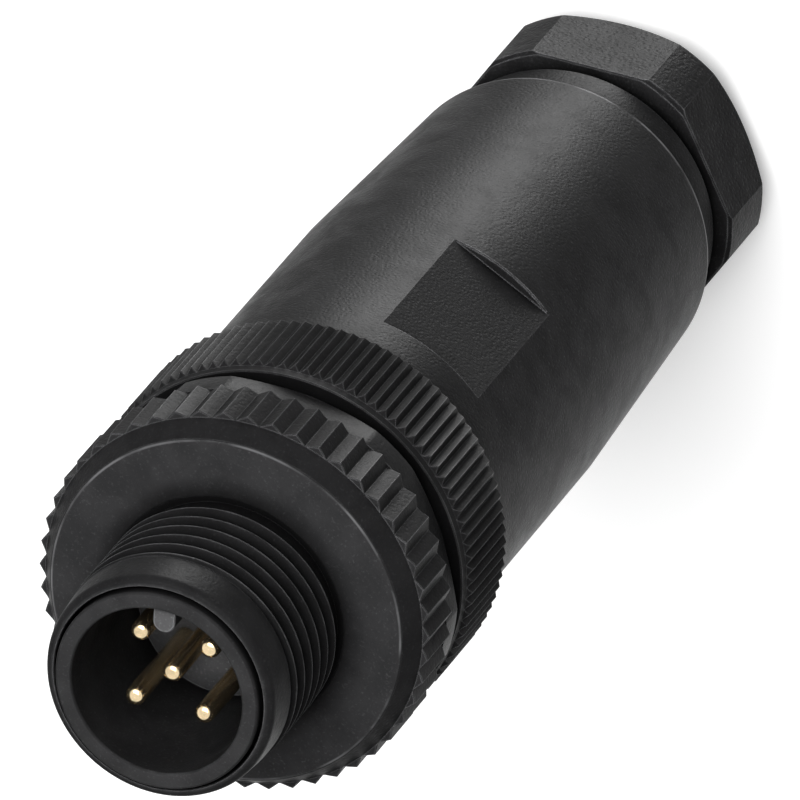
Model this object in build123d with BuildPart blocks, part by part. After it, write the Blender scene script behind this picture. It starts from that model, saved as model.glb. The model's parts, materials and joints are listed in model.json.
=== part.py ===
from build123d import *
import math
import os

# A field-wired M12 cable plug. It stands on its gland nut, and +Z runs up the axis to the contacts.
# The origin is the centre of the nut's rear face, and all lengths are in millimetres.

# Overall stack along the axis, from the nut's rear face up
nut_height = 6.25
nut_gap = 0.52
neck_length = 2.38
sleeve_length = 31.85
joint_gap = 0.10
grip_height = 5.35
grip_boss_height = 0.25
screw_float = 0.15
flange_height = 6.25
spigot_length = 8.60
collar_stand = 0.30

nut_face_z = nut_height
neck_end_z = nut_face_z + nut_gap
shoulder_z = neck_end_z + neck_length
sleeve_top_z = shoulder_z + sleeve_length
grip_rear_z = sleeve_top_z + joint_gap
grip_front_z = grip_rear_z + grip_height
boss_top_z = grip_front_z + grip_boss_height
screw_rear_z = boss_top_z + screw_float
flange_face_z = screw_rear_z + flange_height
screw_front_z = flange_face_z + spigot_length
collar_rim_z = screw_front_z + collar_stand

# Clearances and overrun
running_clearance = 0.05
slip_clearance = 0.10
seat_clearance = 0.03
cut_overrun = 1.0

# Gland nut
nut_across_flats = 15.1
nut_corner_stand = 0.60
nut_rear_chamfer = 1.20
nut_edge_chamfer = 0.20
nut_corner_angle = -92.0
nut_stub_radius = 6.40
nut_stub_length = 5.60
nut_stub_chamfer = 0.30
nut_bore_radius = 4.10
nut_mouth_chamfer = 0.60
nut_seat_wall = 1.00
nut_seat_depth = 1.90

# Pressure ring, slipped into the nut's seat
pressure_ring_height = 2.20
pressure_ring_cone_share = 0.72

# Sleeve
sleeve_wall = 0.90
sleeve_straight_length = 17.0
sleeve_taper_drop = 0.65
sleeve_tail_round = 0.75
sleeve_tail_drop = 0.39
sleeve_tail_arc = 1.00
neck_step = 0.36
neck_edge = 0.25
sleeve_front_chamfer = 0.25
gland_bore_length = 6.40
seal_bore_step = 0.40
passage_radius = 4.30
passage_length = 1.60
fan_out_length = 1.90
wiring_step = 0.50
wrench_flat_depth = 0.49
wrench_flat_setback = 3.15
wrench_flat_length = 9.40
wrench_flat_angles = (-90.0, 90.0)

# Clamping cage and cable seal
cage_ring_height = 1.60
cage_bore_radius = 4.45
cage_tip_cone = 0.60
cage_slot_count = 8
cage_slot_width = 0.80
cage_start_gap = 0.95
seal_height = 4.20
seal_bore = 3.20
seal_bevel = 0.60

# Grip ring with its threaded stub
grip_inset = 0.15
grip_ridge_depth = 0.27
grip_ridge_count = 100
grip_ridge_turn = 0.0
grip_front_step = 0.08
grip_front_bevel = 0.42
grip_rear_bevel = 0.30
stub_length = 6.10
stub_chamfer = 0.35
stub_wall = 0.70
groove_radius = 6.90
groove_depth = 0.60
groove_height = 1.30
seal_ring_width = 1.00
seal_ring_height = 1.00
seal_ring_bevel = 0.20
neck_bore_depth = 4.50
grip_boss_margin = 0.10

# Contact carrier
collar_gap = 0.15
collar_wall = 0.84
collar_edge_chamfer = 0.20
collar_mouth_chamfer = 0.12
socket_depth = 8.60
carrier_neck_step = 0.57
screw_lip_height = 3.00
key_angle = -61.5
key_width = 1.12
key_reach = 3.05
key_setback = 0.30

# Coupling screw
thread_radius = 6.00
spigot_wall = 0.68
screw_mouth_chamfer = 0.18
screw_nose_drop = 0.38
lead_drop = 0.10
lead_length = 1.55
thread_start = 2.20
relief_width = 0.75
relief_depth_share = 0.30
relief_depth = 0.38
flange_cone_width = 0.67
tooth_crest_radius = 10.0
tooth_depth = 0.35
tooth_count = 50
tooth_turn = 3.6
tooth_front_drop = 1.09
tooth_length = 3.00
band_inset = 0.25
band_flat_depth = 0.75
band_flat_angle = 51.0
polygon_corner_turn = 30.0
band_rear_bevel = 0.72
core_wall = 0.60
core_stand = 0.60
core_depth = 3.90

# Contacts, terminals and wire guards
pin_circle_radius = 2.50
pin_radius = 0.50
pin_shank_radius = 0.75
pin_tip_chamfer = 0.28
pin_recess = 1.89
barrel_circle_radius = 3.40
barrel_radius = 1.50
barrel_length = 10.0
barrel_roof = 1.70
barrel_recess = 1.50
centre_barrel_radius = 1.30
tower_radius = 2.60
tower_length = 2.40
block_gap = 0.40
wire_hole_radius = 0.80
wire_hole_depth = 6.00
terminal_setback = 2.40
terminal_screw_radius = 0.80
terminal_screw_length = 1.70
screw_slot_width = 0.28
screw_slot_depth = 0.45
guard_thickness = 0.12
guard_width = 0.84
guard_length = 5.20
guard_offset = 0.53
outer_pin_count = 4
pin_share = 360 / outer_pin_count
outer_pin_angles = [key_angle + pin_share * (place + 1 / 2) for place in range(outer_pin_count)]

os.makedirs("parts", exist_ok=True)

# Places that several pieces share
neck_seat_z = boss_top_z - neck_bore_depth
stub_end_z = grip_rear_z - stub_length
carrier_shoulder_z = screw_rear_z + screw_lip_height + screw_float
socket_floor_z = collar_rim_z - socket_depth
block_top_z = neck_seat_z - seat_clearance
barrel_top_z = block_top_z - barrel_roof
barrel_bottom_z = barrel_top_z - barrel_length
block_bottom_z = barrel_bottom_z - barrel_recess
tower_bottom_z = block_bottom_z - tower_length
centre_barrel_bottom_z = tower_bottom_z
gland_bore_top_z = neck_end_z + gland_bore_length
passage_top_z = tower_bottom_z - fan_out_length
seal_bore_top_z = passage_top_z - passage_length
seal_top_z = seal_bore_top_z - seat_clearance
seal_bottom_z = seal_top_z - seal_height
nut_top_z = nut_face_z + nut_stub_length
ring_bottom_z = nut_top_z - nut_seat_depth + seat_clearance
ring_top_z = ring_bottom_z + pressure_ring_height
cage_bottom_z = ring_top_z + cage_start_gap
cage_top_z = seal_bottom_z - slip_clearance
cage_height = cage_top_z - cage_bottom_z
sleeve_taper_z = sleeve_top_z - sleeve_straight_length

# Radii that follow from the nut's stub and bore
nut_corner_radius = nut_across_flats / 2 + nut_corner_stand
nut_seat_radius = nut_stub_radius - nut_seat_wall
pressure_ring_radius = nut_seat_radius - running_clearance
pressure_ring_bore = nut_bore_radius
pressure_ring_cone = (pressure_ring_radius - pressure_ring_bore) * pressure_ring_cone_share
seal_bore_radius = nut_stub_radius - seal_bore_step

# Radii that follow from the seal groove
stub_radius = groove_radius + groove_depth
stub_bore_radius = groove_radius - stub_wall
wiring_radius = stub_radius - wiring_step
block_radius = wiring_radius - block_gap
seal_ring_bore = groove_radius + running_clearance
seal_ring_radius = seal_ring_bore + seal_ring_width
seal_recess_radius = seal_ring_radius + running_clearance
sleeve_radius = seal_recess_radius + sleeve_wall
sleeve_tail_radius = sleeve_radius - sleeve_taper_drop
shoulder_radius = sleeve_tail_radius - sleeve_tail_drop
neck_radius = shoulder_radius - neck_step

# Radii that follow from the thread
screw_bore_radius = thread_radius - spigot_wall
screw_mouth_radius = screw_bore_radius + screw_mouth_chamfer
screw_nose_radius = thread_radius - screw_nose_drop
lead_radius = thread_radius - lead_drop
relief_radius = thread_radius - relief_depth
core_inner_radius = thread_radius + core_stand
collar_radius = screw_bore_radius - collar_gap
collar_bore_radius = collar_radius - collar_wall
carrier_neck_radius = collar_radius - carrier_neck_step

# Radii that follow from the flange's teeth
tooth_root_radius = tooth_crest_radius - tooth_depth
flange_edge_radius = tooth_root_radius - flange_cone_width
band_radius = tooth_crest_radius - band_inset
band_flat_radius = band_radius - band_flat_depth
core_outer_radius = band_flat_radius - core_wall
grip_crest_radius = tooth_crest_radius - grip_inset
grip_root_radius = grip_crest_radius - grip_ridge_depth
grip_front_radius = grip_root_radius - grip_front_step


def radial_plane(angle, distance, height):
    """A plane that faces straight out from the axis, at a distance and a height."""
    turn = math.radians(angle)
    outward = Vector(math.cos(turn), math.sin(turn), 0)
    return Plane(origin=outward * distance + Vector(0, 0, height), x_dir=(0, 0, 1), z_dir=outward)


def turned_plane(angle, height):
    """A horizontal plane whose own X runs outwards at the angle."""
    turn = math.radians(angle)
    return Plane(origin=(0, 0, height), x_dir=(math.cos(turn), math.sin(turn), 0), z_dir=(0, 0, 1))


def ridge_outline(crest_radius, root_radius, ridge_count, first_crest_angle):
    """The points of a ring of V ridges, one crest and one root for each ridge."""
    points = []
    for step in range(2 * ridge_count):
        radius = crest_radius if step % 2 == 0 else root_radius
        turn = math.radians(first_crest_angle) + math.pi * step / ridge_count
        points.append((radius * math.cos(turn), radius * math.sin(turn)))
    return points


# Gland nut: a rounded hexagon over a threaded stub, with a seat for the pressure ring
with BuildPart() as gland_nut:
    with BuildSketch(Plane.XY):
        RegularPolygon(radius=nut_across_flats / 2, side_count=6, major_radius=False, rotation=nut_corner_angle)
        Circle(nut_corner_radius, mode=Mode.INTERSECT)
    extrude(amount=nut_height)
    with BuildSketch(Plane.XZ):
        with BuildLine():
            Polyline(
                (0, 0),
                (nut_across_flats / 2 - nut_rear_chamfer, 0),
                (nut_across_flats / 2, nut_rear_chamfer),
                (nut_corner_radius, nut_rear_chamfer + nut_corner_radius - nut_across_flats / 2),
                (nut_corner_radius, nut_height - nut_edge_chamfer),
                (nut_corner_radius - nut_edge_chamfer, nut_height),
                (0, nut_height),
                close=True,
            )
        make_face()
    revolve(axis=Axis.Z, mode=Mode.INTERSECT)
    with BuildSketch(Plane.XY.offset(nut_height)):
        Circle(nut_stub_radius)
    extrude(amount=nut_stub_length)
    chamfer(gland_nut.edges().group_by(Axis.Z)[-1], length=nut_stub_chamfer)
    with BuildSketch(Plane.XY):
        Circle(nut_bore_radius)
    extrude(amount=nut_top_z, mode=Mode.SUBTRACT)
    with BuildSketch(Plane.XY.offset(nut_top_z)):
        Circle(nut_seat_radius)
    extrude(amount=-nut_seat_depth, mode=Mode.SUBTRACT)
    mouth = gland_nut.edges().filter_by(GeomType.CIRCLE).group_by(Axis.Z)[0].sort_by(SortBy.RADIUS)[0]
    chamfer(mouth, length=nut_mouth_chamfer)
gland_nut.part.label = "gland_nut"

# Pressure ring: turns in the nut's seat and takes the cage's fingers on its inner cone
with BuildPart() as pressure_ring:
    with BuildSketch(Plane.XY.offset(ring_bottom_z)):
        Circle(pressure_ring_radius)
        Circle(pressure_ring_bore, mode=Mode.SUBTRACT)
    extrude(amount=pressure_ring_height)
    bore_rim = pressure_ring.edges().filter_by(GeomType.CIRCLE).group_by(Axis.Z)[-1].sort_by(SortBy.RADIUS)[0]
    chamfer(bore_rim, length=pressure_ring_cone)
pressure_ring.part.label = "pressure_ring"

# Sleeve: the tapered housing, bored from both ends, with a flat on each side for a wrench
with BuildPart() as sleeve:
    with BuildSketch(Plane.XZ):
        with BuildLine():
            tail_top = (sleeve_tail_radius, shoulder_z + sleeve_tail_round)
            Line((0, neck_end_z), (neck_radius - neck_edge, neck_end_z))
            Line((neck_radius - neck_edge, neck_end_z), (neck_radius, neck_end_z + neck_edge))
            Line((neck_radius, neck_end_z + neck_edge), (neck_radius, shoulder_z))
            Line((neck_radius, shoulder_z), (shoulder_radius, shoulder_z))
            RadiusArc((shoulder_radius, shoulder_z), tail_top, sleeve_tail_arc)
            Line(tail_top, (sleeve_radius, sleeve_taper_z))
            Line((sleeve_radius, sleeve_taper_z), (sleeve_radius, sleeve_top_z - sleeve_front_chamfer))
            Line(
                (sleeve_radius, sleeve_top_z - sleeve_front_chamfer),
                (sleeve_radius - sleeve_front_chamfer, sleeve_top_z),
            )
            Line((sleeve_radius - sleeve_front_chamfer, sleeve_top_z), (0, sleeve_top_z))
            Line((0, sleeve_top_z), (0, neck_end_z))
        make_face()
    revolve(axis=Axis.Z)
    with BuildSketch(Plane.XZ):
        with BuildLine():
            Polyline(
                (0, neck_end_z),
                (nut_stub_radius + running_clearance, neck_end_z),
                (nut_stub_radius + running_clearance, gland_bore_top_z),
                (seal_bore_radius, gland_bore_top_z),
                (seal_bore_radius, seal_bore_top_z),
                (passage_radius, seal_bore_top_z),
                (passage_radius, passage_top_z),
                (wiring_radius, passage_top_z + wiring_radius - passage_radius),
                (wiring_radius, stub_end_z - slip_clearance),
                (stub_radius + running_clearance, stub_end_z - slip_clearance),
                (stub_radius + running_clearance, grip_rear_z - groove_height),
                (seal_recess_radius, grip_rear_z - groove_height),
                (seal_recess_radius, sleeve_top_z),
                (0, sleeve_top_z),
                close=True,
            )
        make_face()
    revolve(axis=Axis.Z, mode=Mode.SUBTRACT)
    flat_height = sleeve_top_z - wrench_flat_setback - wrench_flat_length / 2
    for flat_angle in wrench_flat_angles:
        with BuildSketch(radial_plane(flat_angle, sleeve_radius - wrench_flat_depth, flat_height)):
            Rectangle(wrench_flat_length, 2 * sleeve_radius)
        extrude(amount=cut_overrun, mode=Mode.SUBTRACT)
sleeve.part.label = "sleeve"

# Clamping cage: a ring with slotted fingers that close on the cable
with BuildPart() as clamping_cage:
    with BuildSketch(Plane.XY.offset(cage_bottom_z)):
        Circle(seal_bore_radius - running_clearance)
        Circle(cage_bore_radius, mode=Mode.SUBTRACT)
    extrude(amount=cage_height)
    finger_tip = clamping_cage.edges().filter_by(GeomType.CIRCLE).group_by(Axis.Z)[0].sort_by(SortBy.RADIUS)[-1]
    chamfer(finger_tip, length=cage_tip_cone)
    slot_depth = cage_height - cage_ring_height
    for slot in range(cage_slot_count):
        with BuildSketch(turned_plane(slot * 360 / cage_slot_count, cage_bottom_z)):
            with Locations((seal_bore_radius / 2, 0)):
                Rectangle(seal_bore_radius + cut_overrun, cage_slot_width)
        extrude(amount=slot_depth, mode=Mode.SUBTRACT)
clamping_cage.part.label = "clamping_cage"

# Cable seal: a soft ring between the cage and the sleeve's inner shoulder
with BuildPart() as cable_seal:
    with BuildSketch(Plane.XY.offset(seal_bottom_z)):
        Circle(seal_bore_radius - running_clearance)
        Circle(seal_bore, mode=Mode.SUBTRACT)
    extrude(amount=seal_height)
    seal_rims = cable_seal.edges().filter_by(GeomType.CIRCLE).sort_by(SortBy.RADIUS)[-2:]
    chamfer(seal_rims, length=seal_bevel)
cable_seal.part.label = "cable_seal"

# Grip ring: the finely ridged ring that holds the carrier, with the stub that the sleeve screws onto
grip_points = ridge_outline(grip_crest_radius, grip_root_radius, grip_ridge_count, grip_ridge_turn)
with BuildPart() as grip_ring:
    with BuildSketch(Plane.XY.offset(grip_rear_z)):
        with BuildLine():
            Polyline(*grip_points, close=True)
        make_face()
    extrude(amount=grip_height)
    with BuildSketch(Plane.XZ):
        with BuildLine():
            Polyline(
                (0, grip_rear_z),
                (grip_crest_radius - grip_rear_bevel, grip_rear_z),
                (grip_crest_radius, grip_rear_z + grip_rear_bevel),
                (grip_crest_radius, grip_front_z - grip_front_bevel - grip_crest_radius + grip_root_radius),
                (grip_root_radius, grip_front_z - grip_front_bevel),
                (grip_front_radius, grip_front_z),
                (0, grip_front_z),
                close=True,
            )
        make_face()
    revolve(axis=Axis.Z, mode=Mode.INTERSECT)
    with BuildSketch(Plane.XZ):
        with BuildLine():
            Polyline(
                (0, grip_rear_z),
                (groove_radius, grip_rear_z),
                (groove_radius, grip_rear_z - groove_height),
                (stub_radius, grip_rear_z - groove_height),
                (stub_radius, stub_end_z + stub_chamfer),
                (stub_radius - stub_chamfer, stub_end_z),
                (0, stub_end_z),
                close=True,
            )
        make_face()
    revolve(axis=Axis.Z)
    with BuildSketch(Plane.XY.offset(grip_front_z)):
        Circle(core_inner_radius - grip_boss_margin)
    extrude(amount=grip_boss_height)
    with BuildSketch(Plane.XY.offset(stub_end_z)):
        Circle(stub_bore_radius)
    extrude(amount=neck_seat_z - stub_end_z, mode=Mode.SUBTRACT)
    with BuildSketch(Plane.XY.offset(neck_seat_z)):
        Circle(carrier_neck_radius + seat_clearance)
    extrude(amount=neck_bore_depth, mode=Mode.SUBTRACT)
grip_ring.part.label = "grip_ring"

# Joint seal: a square-cut ring with bevelled edges, in the groove behind the grip ring
with BuildPart() as joint_seal:
    with BuildSketch(Plane.XY.offset(grip_rear_z - groove_height / 2 - seal_ring_height / 2)):
        Circle(seal_ring_radius)
        Circle(seal_ring_bore, mode=Mode.SUBTRACT)
    extrude(amount=seal_ring_height)
    chamfer(joint_seal.edges().filter_by(GeomType.CIRCLE), length=seal_ring_bevel)
joint_seal.part.label = "joint_seal"

# Contact carrier: the collar round the contacts, its coding key, and the neck behind
with BuildPart() as contact_carrier:
    with BuildSketch(Plane.XZ):
        with BuildLine():
            Polyline(
                (0, neck_seat_z),
                (carrier_neck_radius, neck_seat_z),
                (carrier_neck_radius, carrier_shoulder_z),
                (collar_radius, carrier_shoulder_z),
                (collar_radius, collar_rim_z - collar_edge_chamfer),
                (collar_radius - collar_edge_chamfer, collar_rim_z),
                (collar_bore_radius + collar_mouth_chamfer, collar_rim_z),
                (collar_bore_radius, collar_rim_z - collar_mouth_chamfer),
                (collar_bore_radius, socket_floor_z),
                (0, socket_floor_z),
                close=True,
            )
        make_face()
    revolve(axis=Axis.Z)
    key_wall_radius = (collar_bore_radius + collar_radius) / 2
    key_length = key_wall_radius - key_reach
    with BuildSketch(turned_plane(key_angle, socket_floor_z)):
        with Locations((key_reach + key_width / 2, 0)):
            Circle(key_width / 2)
        with Locations((key_wall_radius - (key_length - key_width / 2) / 2, 0)):
            Rectangle(key_length - key_width / 2, key_width)
    extrude(amount=socket_depth - key_setback)
    with BuildSketch(Plane.XY.offset(neck_seat_z)):
        Circle(pin_shank_radius + seat_clearance)
        for pin_angle in outer_pin_angles:
            turn = math.radians(pin_angle)
            with Locations((pin_circle_radius * math.cos(turn), pin_circle_radius * math.sin(turn))):
                Circle(pin_shank_radius + seat_clearance)
    extrude(amount=socket_floor_z - neck_seat_z, mode=Mode.SUBTRACT)
contact_carrier.part.label = "contact_carrier"

# Coupling screw: threaded spigot, toothed flange and a rear band with six flats
thread_start_z = screw_front_z - thread_start
relief_top_z = flange_face_z + relief_width * (1 - relief_depth_share)
relief_bottom_z = flange_face_z - relief_width * relief_depth_share
tooth_front_z = flange_face_z - tooth_front_drop
tooth_rear_z = tooth_front_z - tooth_length
tooth_points = ridge_outline(tooth_crest_radius, tooth_root_radius, tooth_count, tooth_turn)
with BuildPart() as coupling_screw:
    with BuildSketch(Plane.XY.offset(screw_rear_z)):
        RegularPolygon(
            radius=band_flat_radius,
            side_count=6,
            major_radius=False,
            rotation=band_flat_angle + polygon_corner_turn,
        )
        Circle(band_radius, mode=Mode.INTERSECT)
    extrude(amount=tooth_rear_z - screw_rear_z)
    with BuildSketch(Plane.XZ):
        with BuildLine():
            Polyline(
                (0, screw_rear_z),
                (band_radius - band_rear_bevel, screw_rear_z),
                (band_radius, screw_rear_z + band_rear_bevel),
                (band_radius, tooth_rear_z),
                (0, tooth_rear_z),
                close=True,
            )
        make_face()
    revolve(axis=Axis.Z, mode=Mode.INTERSECT)
    with BuildSketch(Plane.XY.offset(tooth_rear_z)):
        with BuildLine():
            Polyline(*tooth_points, close=True)
        make_face()
    extrude(amount=tooth_length)
    with BuildSketch(Plane.XZ):
        with BuildLine():
            Polyline(
                (0, tooth_front_z),
                (tooth_root_radius, tooth_front_z),
                (flange_edge_radius, flange_face_z),
                (thread_radius, flange_face_z),
                (relief_radius, relief_bottom_z),
                (relief_radius, relief_top_z),
                (thread_radius, relief_top_z + thread_radius - relief_radius),
                (thread_radius, thread_start_z),
                (lead_radius, thread_start_z + thread_radius - lead_radius),
                (lead_radius, screw_front_z - lead_length),
                (screw_nose_radius, screw_front_z),
                (0, screw_front_z),
                close=True,
            )
        make_face()
    revolve(axis=Axis.Z)
    with BuildSketch(Plane.XZ):
        with BuildLine():
            Polyline(
                (0, screw_rear_z),
                (carrier_neck_radius + slip_clearance, screw_rear_z),
                (carrier_neck_radius + slip_clearance, screw_rear_z + screw_lip_height),
                (screw_bore_radius, screw_rear_z + screw_lip_height),
                (screw_bore_radius, screw_front_z - screw_mouth_radius + screw_bore_radius),
                (screw_mouth_radius, screw_front_z),
                (0, screw_front_z),
                close=True,
            )
        make_face()
    revolve(axis=Axis.Z, mode=Mode.SUBTRACT)
    with BuildSketch(Plane.XY.offset(screw_rear_z)):
        Circle(core_outer_radius)
        Circle(core_inner_radius, mode=Mode.SUBTRACT)
    extrude(amount=core_depth, mode=Mode.SUBTRACT)
coupling_screw.part.label = "coupling_screw"

# Contacts: a gold pin in front, and behind it a barrel with its wire hole and screw hole.
# Each terminal is described by its angle, pin and barrel places, barrel size and bottom.
terminals = [
    (pin_angle, pin_circle_radius, barrel_circle_radius, barrel_radius, barrel_bottom_z)
    for pin_angle in outer_pin_angles
]
terminals.append((key_angle, 0, 0, centre_barrel_radius, centre_barrel_bottom_z))

screw_tip_offset = wire_hole_radius + seat_clearance
terminal_screw_solids = []
for number, (angle, pin_place, barrel_place, radius, bottom_z) in enumerate(terminals, start=1):
    screw_z = bottom_z + terminal_setback
    with BuildPart() as contact_pin:
        with BuildSketch(turned_plane(angle, barrel_top_z)):
            with Locations((pin_place, 0)):
                Circle(pin_shank_radius)
        extrude(amount=socket_floor_z - barrel_top_z)
        with BuildSketch(turned_plane(angle, socket_floor_z)):
            with Locations((pin_place, 0)):
                Circle(pin_radius)
        extrude(amount=collar_rim_z - pin_recess - socket_floor_z)
        chamfer(contact_pin.edges().group_by(Axis.Z)[-1], length=pin_tip_chamfer)
        with BuildSketch(turned_plane(angle, bottom_z)):
            with Locations((barrel_place, 0)):
                Circle(radius)
        extrude(amount=barrel_top_z - bottom_z)
        with BuildSketch(turned_plane(angle, bottom_z)):
            with Locations((barrel_place, 0)):
                Circle(wire_hole_radius)
        extrude(amount=wire_hole_depth, mode=Mode.SUBTRACT)
        with BuildSketch(radial_plane(angle, barrel_place, screw_z)):
            Circle(terminal_screw_radius + seat_clearance)
        extrude(amount=radius, mode=Mode.SUBTRACT)
    contact_pin.part.label = f"contact_pin_{number}"
    export_step(contact_pin.part, f"parts/contact_pin_{number}.step")

    # Terminal screw: a slotted grub screw, backed off to the wall of the wire hole
    screw_base = barrel_place + screw_tip_offset
    with BuildPart() as terminal_screw:
        with BuildSketch(radial_plane(angle, screw_base, screw_z)):
            Circle(terminal_screw_radius)
        extrude(amount=terminal_screw_length)
        with BuildSketch(radial_plane(angle, screw_base + terminal_screw_length, screw_z)):
            Rectangle(2 * terminal_screw_radius, screw_slot_width)
        extrude(amount=-screw_slot_depth, mode=Mode.SUBTRACT)
    terminal_screw_solids.append(terminal_screw.part.solid())

    # Wire guard: a bent leaf between the screw's tip and the wire
    with BuildPart() as wire_guard:
        with BuildSketch(turned_plane(angle, bottom_z)):
            with Locations((barrel_place + guard_offset + guard_thickness / 2, 0)):
                Rectangle(guard_thickness, guard_width)
        extrude(amount=guard_length)
        foot_length = radius - guard_offset
        with BuildSketch(turned_plane(angle, bottom_z - guard_thickness)):
            with Locations((barrel_place + guard_offset + foot_length / 2, 0)):
                Rectangle(foot_length, guard_width)
        extrude(amount=guard_thickness)
    wire_guard.part.label = f"wire_guard_{number}"
    export_step(wire_guard.part, f"parts/wire_guard_{number}.step")

terminal_screws = Compound(label="terminal_screws", children=terminal_screw_solids)

# Terminal block: carries the barrels in the stub's bore, with a hole in front of each screw
with BuildPart() as terminal_block:
    with BuildSketch(Plane.XZ):
        with BuildLine():
            Polyline(
                (0, tower_bottom_z),
                (tower_radius, tower_bottom_z),
                (tower_radius, block_bottom_z),
                (block_radius, block_bottom_z),
                (block_radius, stub_end_z - seat_clearance),
                (stub_bore_radius - seat_clearance, stub_end_z - seat_clearance),
                (stub_bore_radius - seat_clearance, block_top_z),
                (0, block_top_z),
                close=True,
            )
        make_face()
    revolve(axis=Axis.Z)
    for angle, pin_place, barrel_place, radius, bottom_z in terminals:
        with BuildSketch(turned_plane(angle, tower_bottom_z)):
            with Locations((barrel_place, 0)):
                Circle(radius + seat_clearance)
        extrude(amount=barrel_top_z + seat_clearance - tower_bottom_z, mode=Mode.SUBTRACT)
        with BuildSketch(turned_plane(angle, barrel_top_z)):
            with Locations((pin_place, 0)):
                Circle(pin_shank_radius + seat_clearance)
        extrude(amount=block_top_z - barrel_top_z, mode=Mode.SUBTRACT)
        with BuildSketch(radial_plane(angle, barrel_place, bottom_z + terminal_setback)):
            Circle(terminal_screw_radius + slip_clearance)
        extrude(amount=block_radius, mode=Mode.SUBTRACT)
terminal_block.part.label = "terminal_block"

export_step(gland_nut.part, "parts/gland_nut.step")
export_step(pressure_ring.part, "parts/pressure_ring.step")
export_step(sleeve.part, "parts/sleeve.step")
export_step(clamping_cage.part, "parts/clamping_cage.step")
export_step(cable_seal.part, "parts/cable_seal.step")
export_step(grip_ring.part, "parts/grip_ring.step")
export_step(joint_seal.part, "parts/joint_seal.step")
export_step(contact_carrier.part, "parts/contact_carrier.step")
export_step(coupling_screw.part, "parts/coupling_screw.step")
export_step(terminal_screws, "parts/terminal_screws.step")
export_step(terminal_block.part, "parts/terminal_block.step")
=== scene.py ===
import json
import logging
import math
from dataclasses import dataclass
from enum import Enum
from typing import Callable

import bmesh
import bpy
from mathutils import Matrix, Vector

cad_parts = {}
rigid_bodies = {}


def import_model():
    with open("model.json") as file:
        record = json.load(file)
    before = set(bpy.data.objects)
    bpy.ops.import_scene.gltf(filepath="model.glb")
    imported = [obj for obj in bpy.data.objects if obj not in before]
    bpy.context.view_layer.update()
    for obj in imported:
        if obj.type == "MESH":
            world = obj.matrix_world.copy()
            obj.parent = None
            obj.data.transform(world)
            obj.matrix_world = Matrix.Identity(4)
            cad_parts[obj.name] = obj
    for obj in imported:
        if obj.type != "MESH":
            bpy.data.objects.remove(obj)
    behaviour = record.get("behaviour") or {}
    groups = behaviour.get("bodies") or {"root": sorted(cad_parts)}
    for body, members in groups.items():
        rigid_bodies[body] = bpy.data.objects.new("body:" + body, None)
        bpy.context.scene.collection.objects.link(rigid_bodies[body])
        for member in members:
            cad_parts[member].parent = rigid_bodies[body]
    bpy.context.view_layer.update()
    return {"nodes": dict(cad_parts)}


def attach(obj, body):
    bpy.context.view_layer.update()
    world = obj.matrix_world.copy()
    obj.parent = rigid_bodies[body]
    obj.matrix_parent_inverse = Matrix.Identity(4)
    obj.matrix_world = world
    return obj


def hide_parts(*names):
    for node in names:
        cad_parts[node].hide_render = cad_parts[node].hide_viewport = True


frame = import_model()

MM = 0.001
FULL_TURN = 2 * math.pi
MERGE_DISTANCE = 2e-7
ROWS_A_TURN = 12
WHITE = (1.0, 1.0, 1.0, 1.0)

Material = bpy.types.Material
Mesh = bpy.types.Mesh
Socket = bpy.types.NodeSocket
Tree = bpy.types.NodeTree
Corner = tuple[float, float]
RadiusRule = Callable[[float], float]

log = logging.getLogger("connector")


# Node trees


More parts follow.
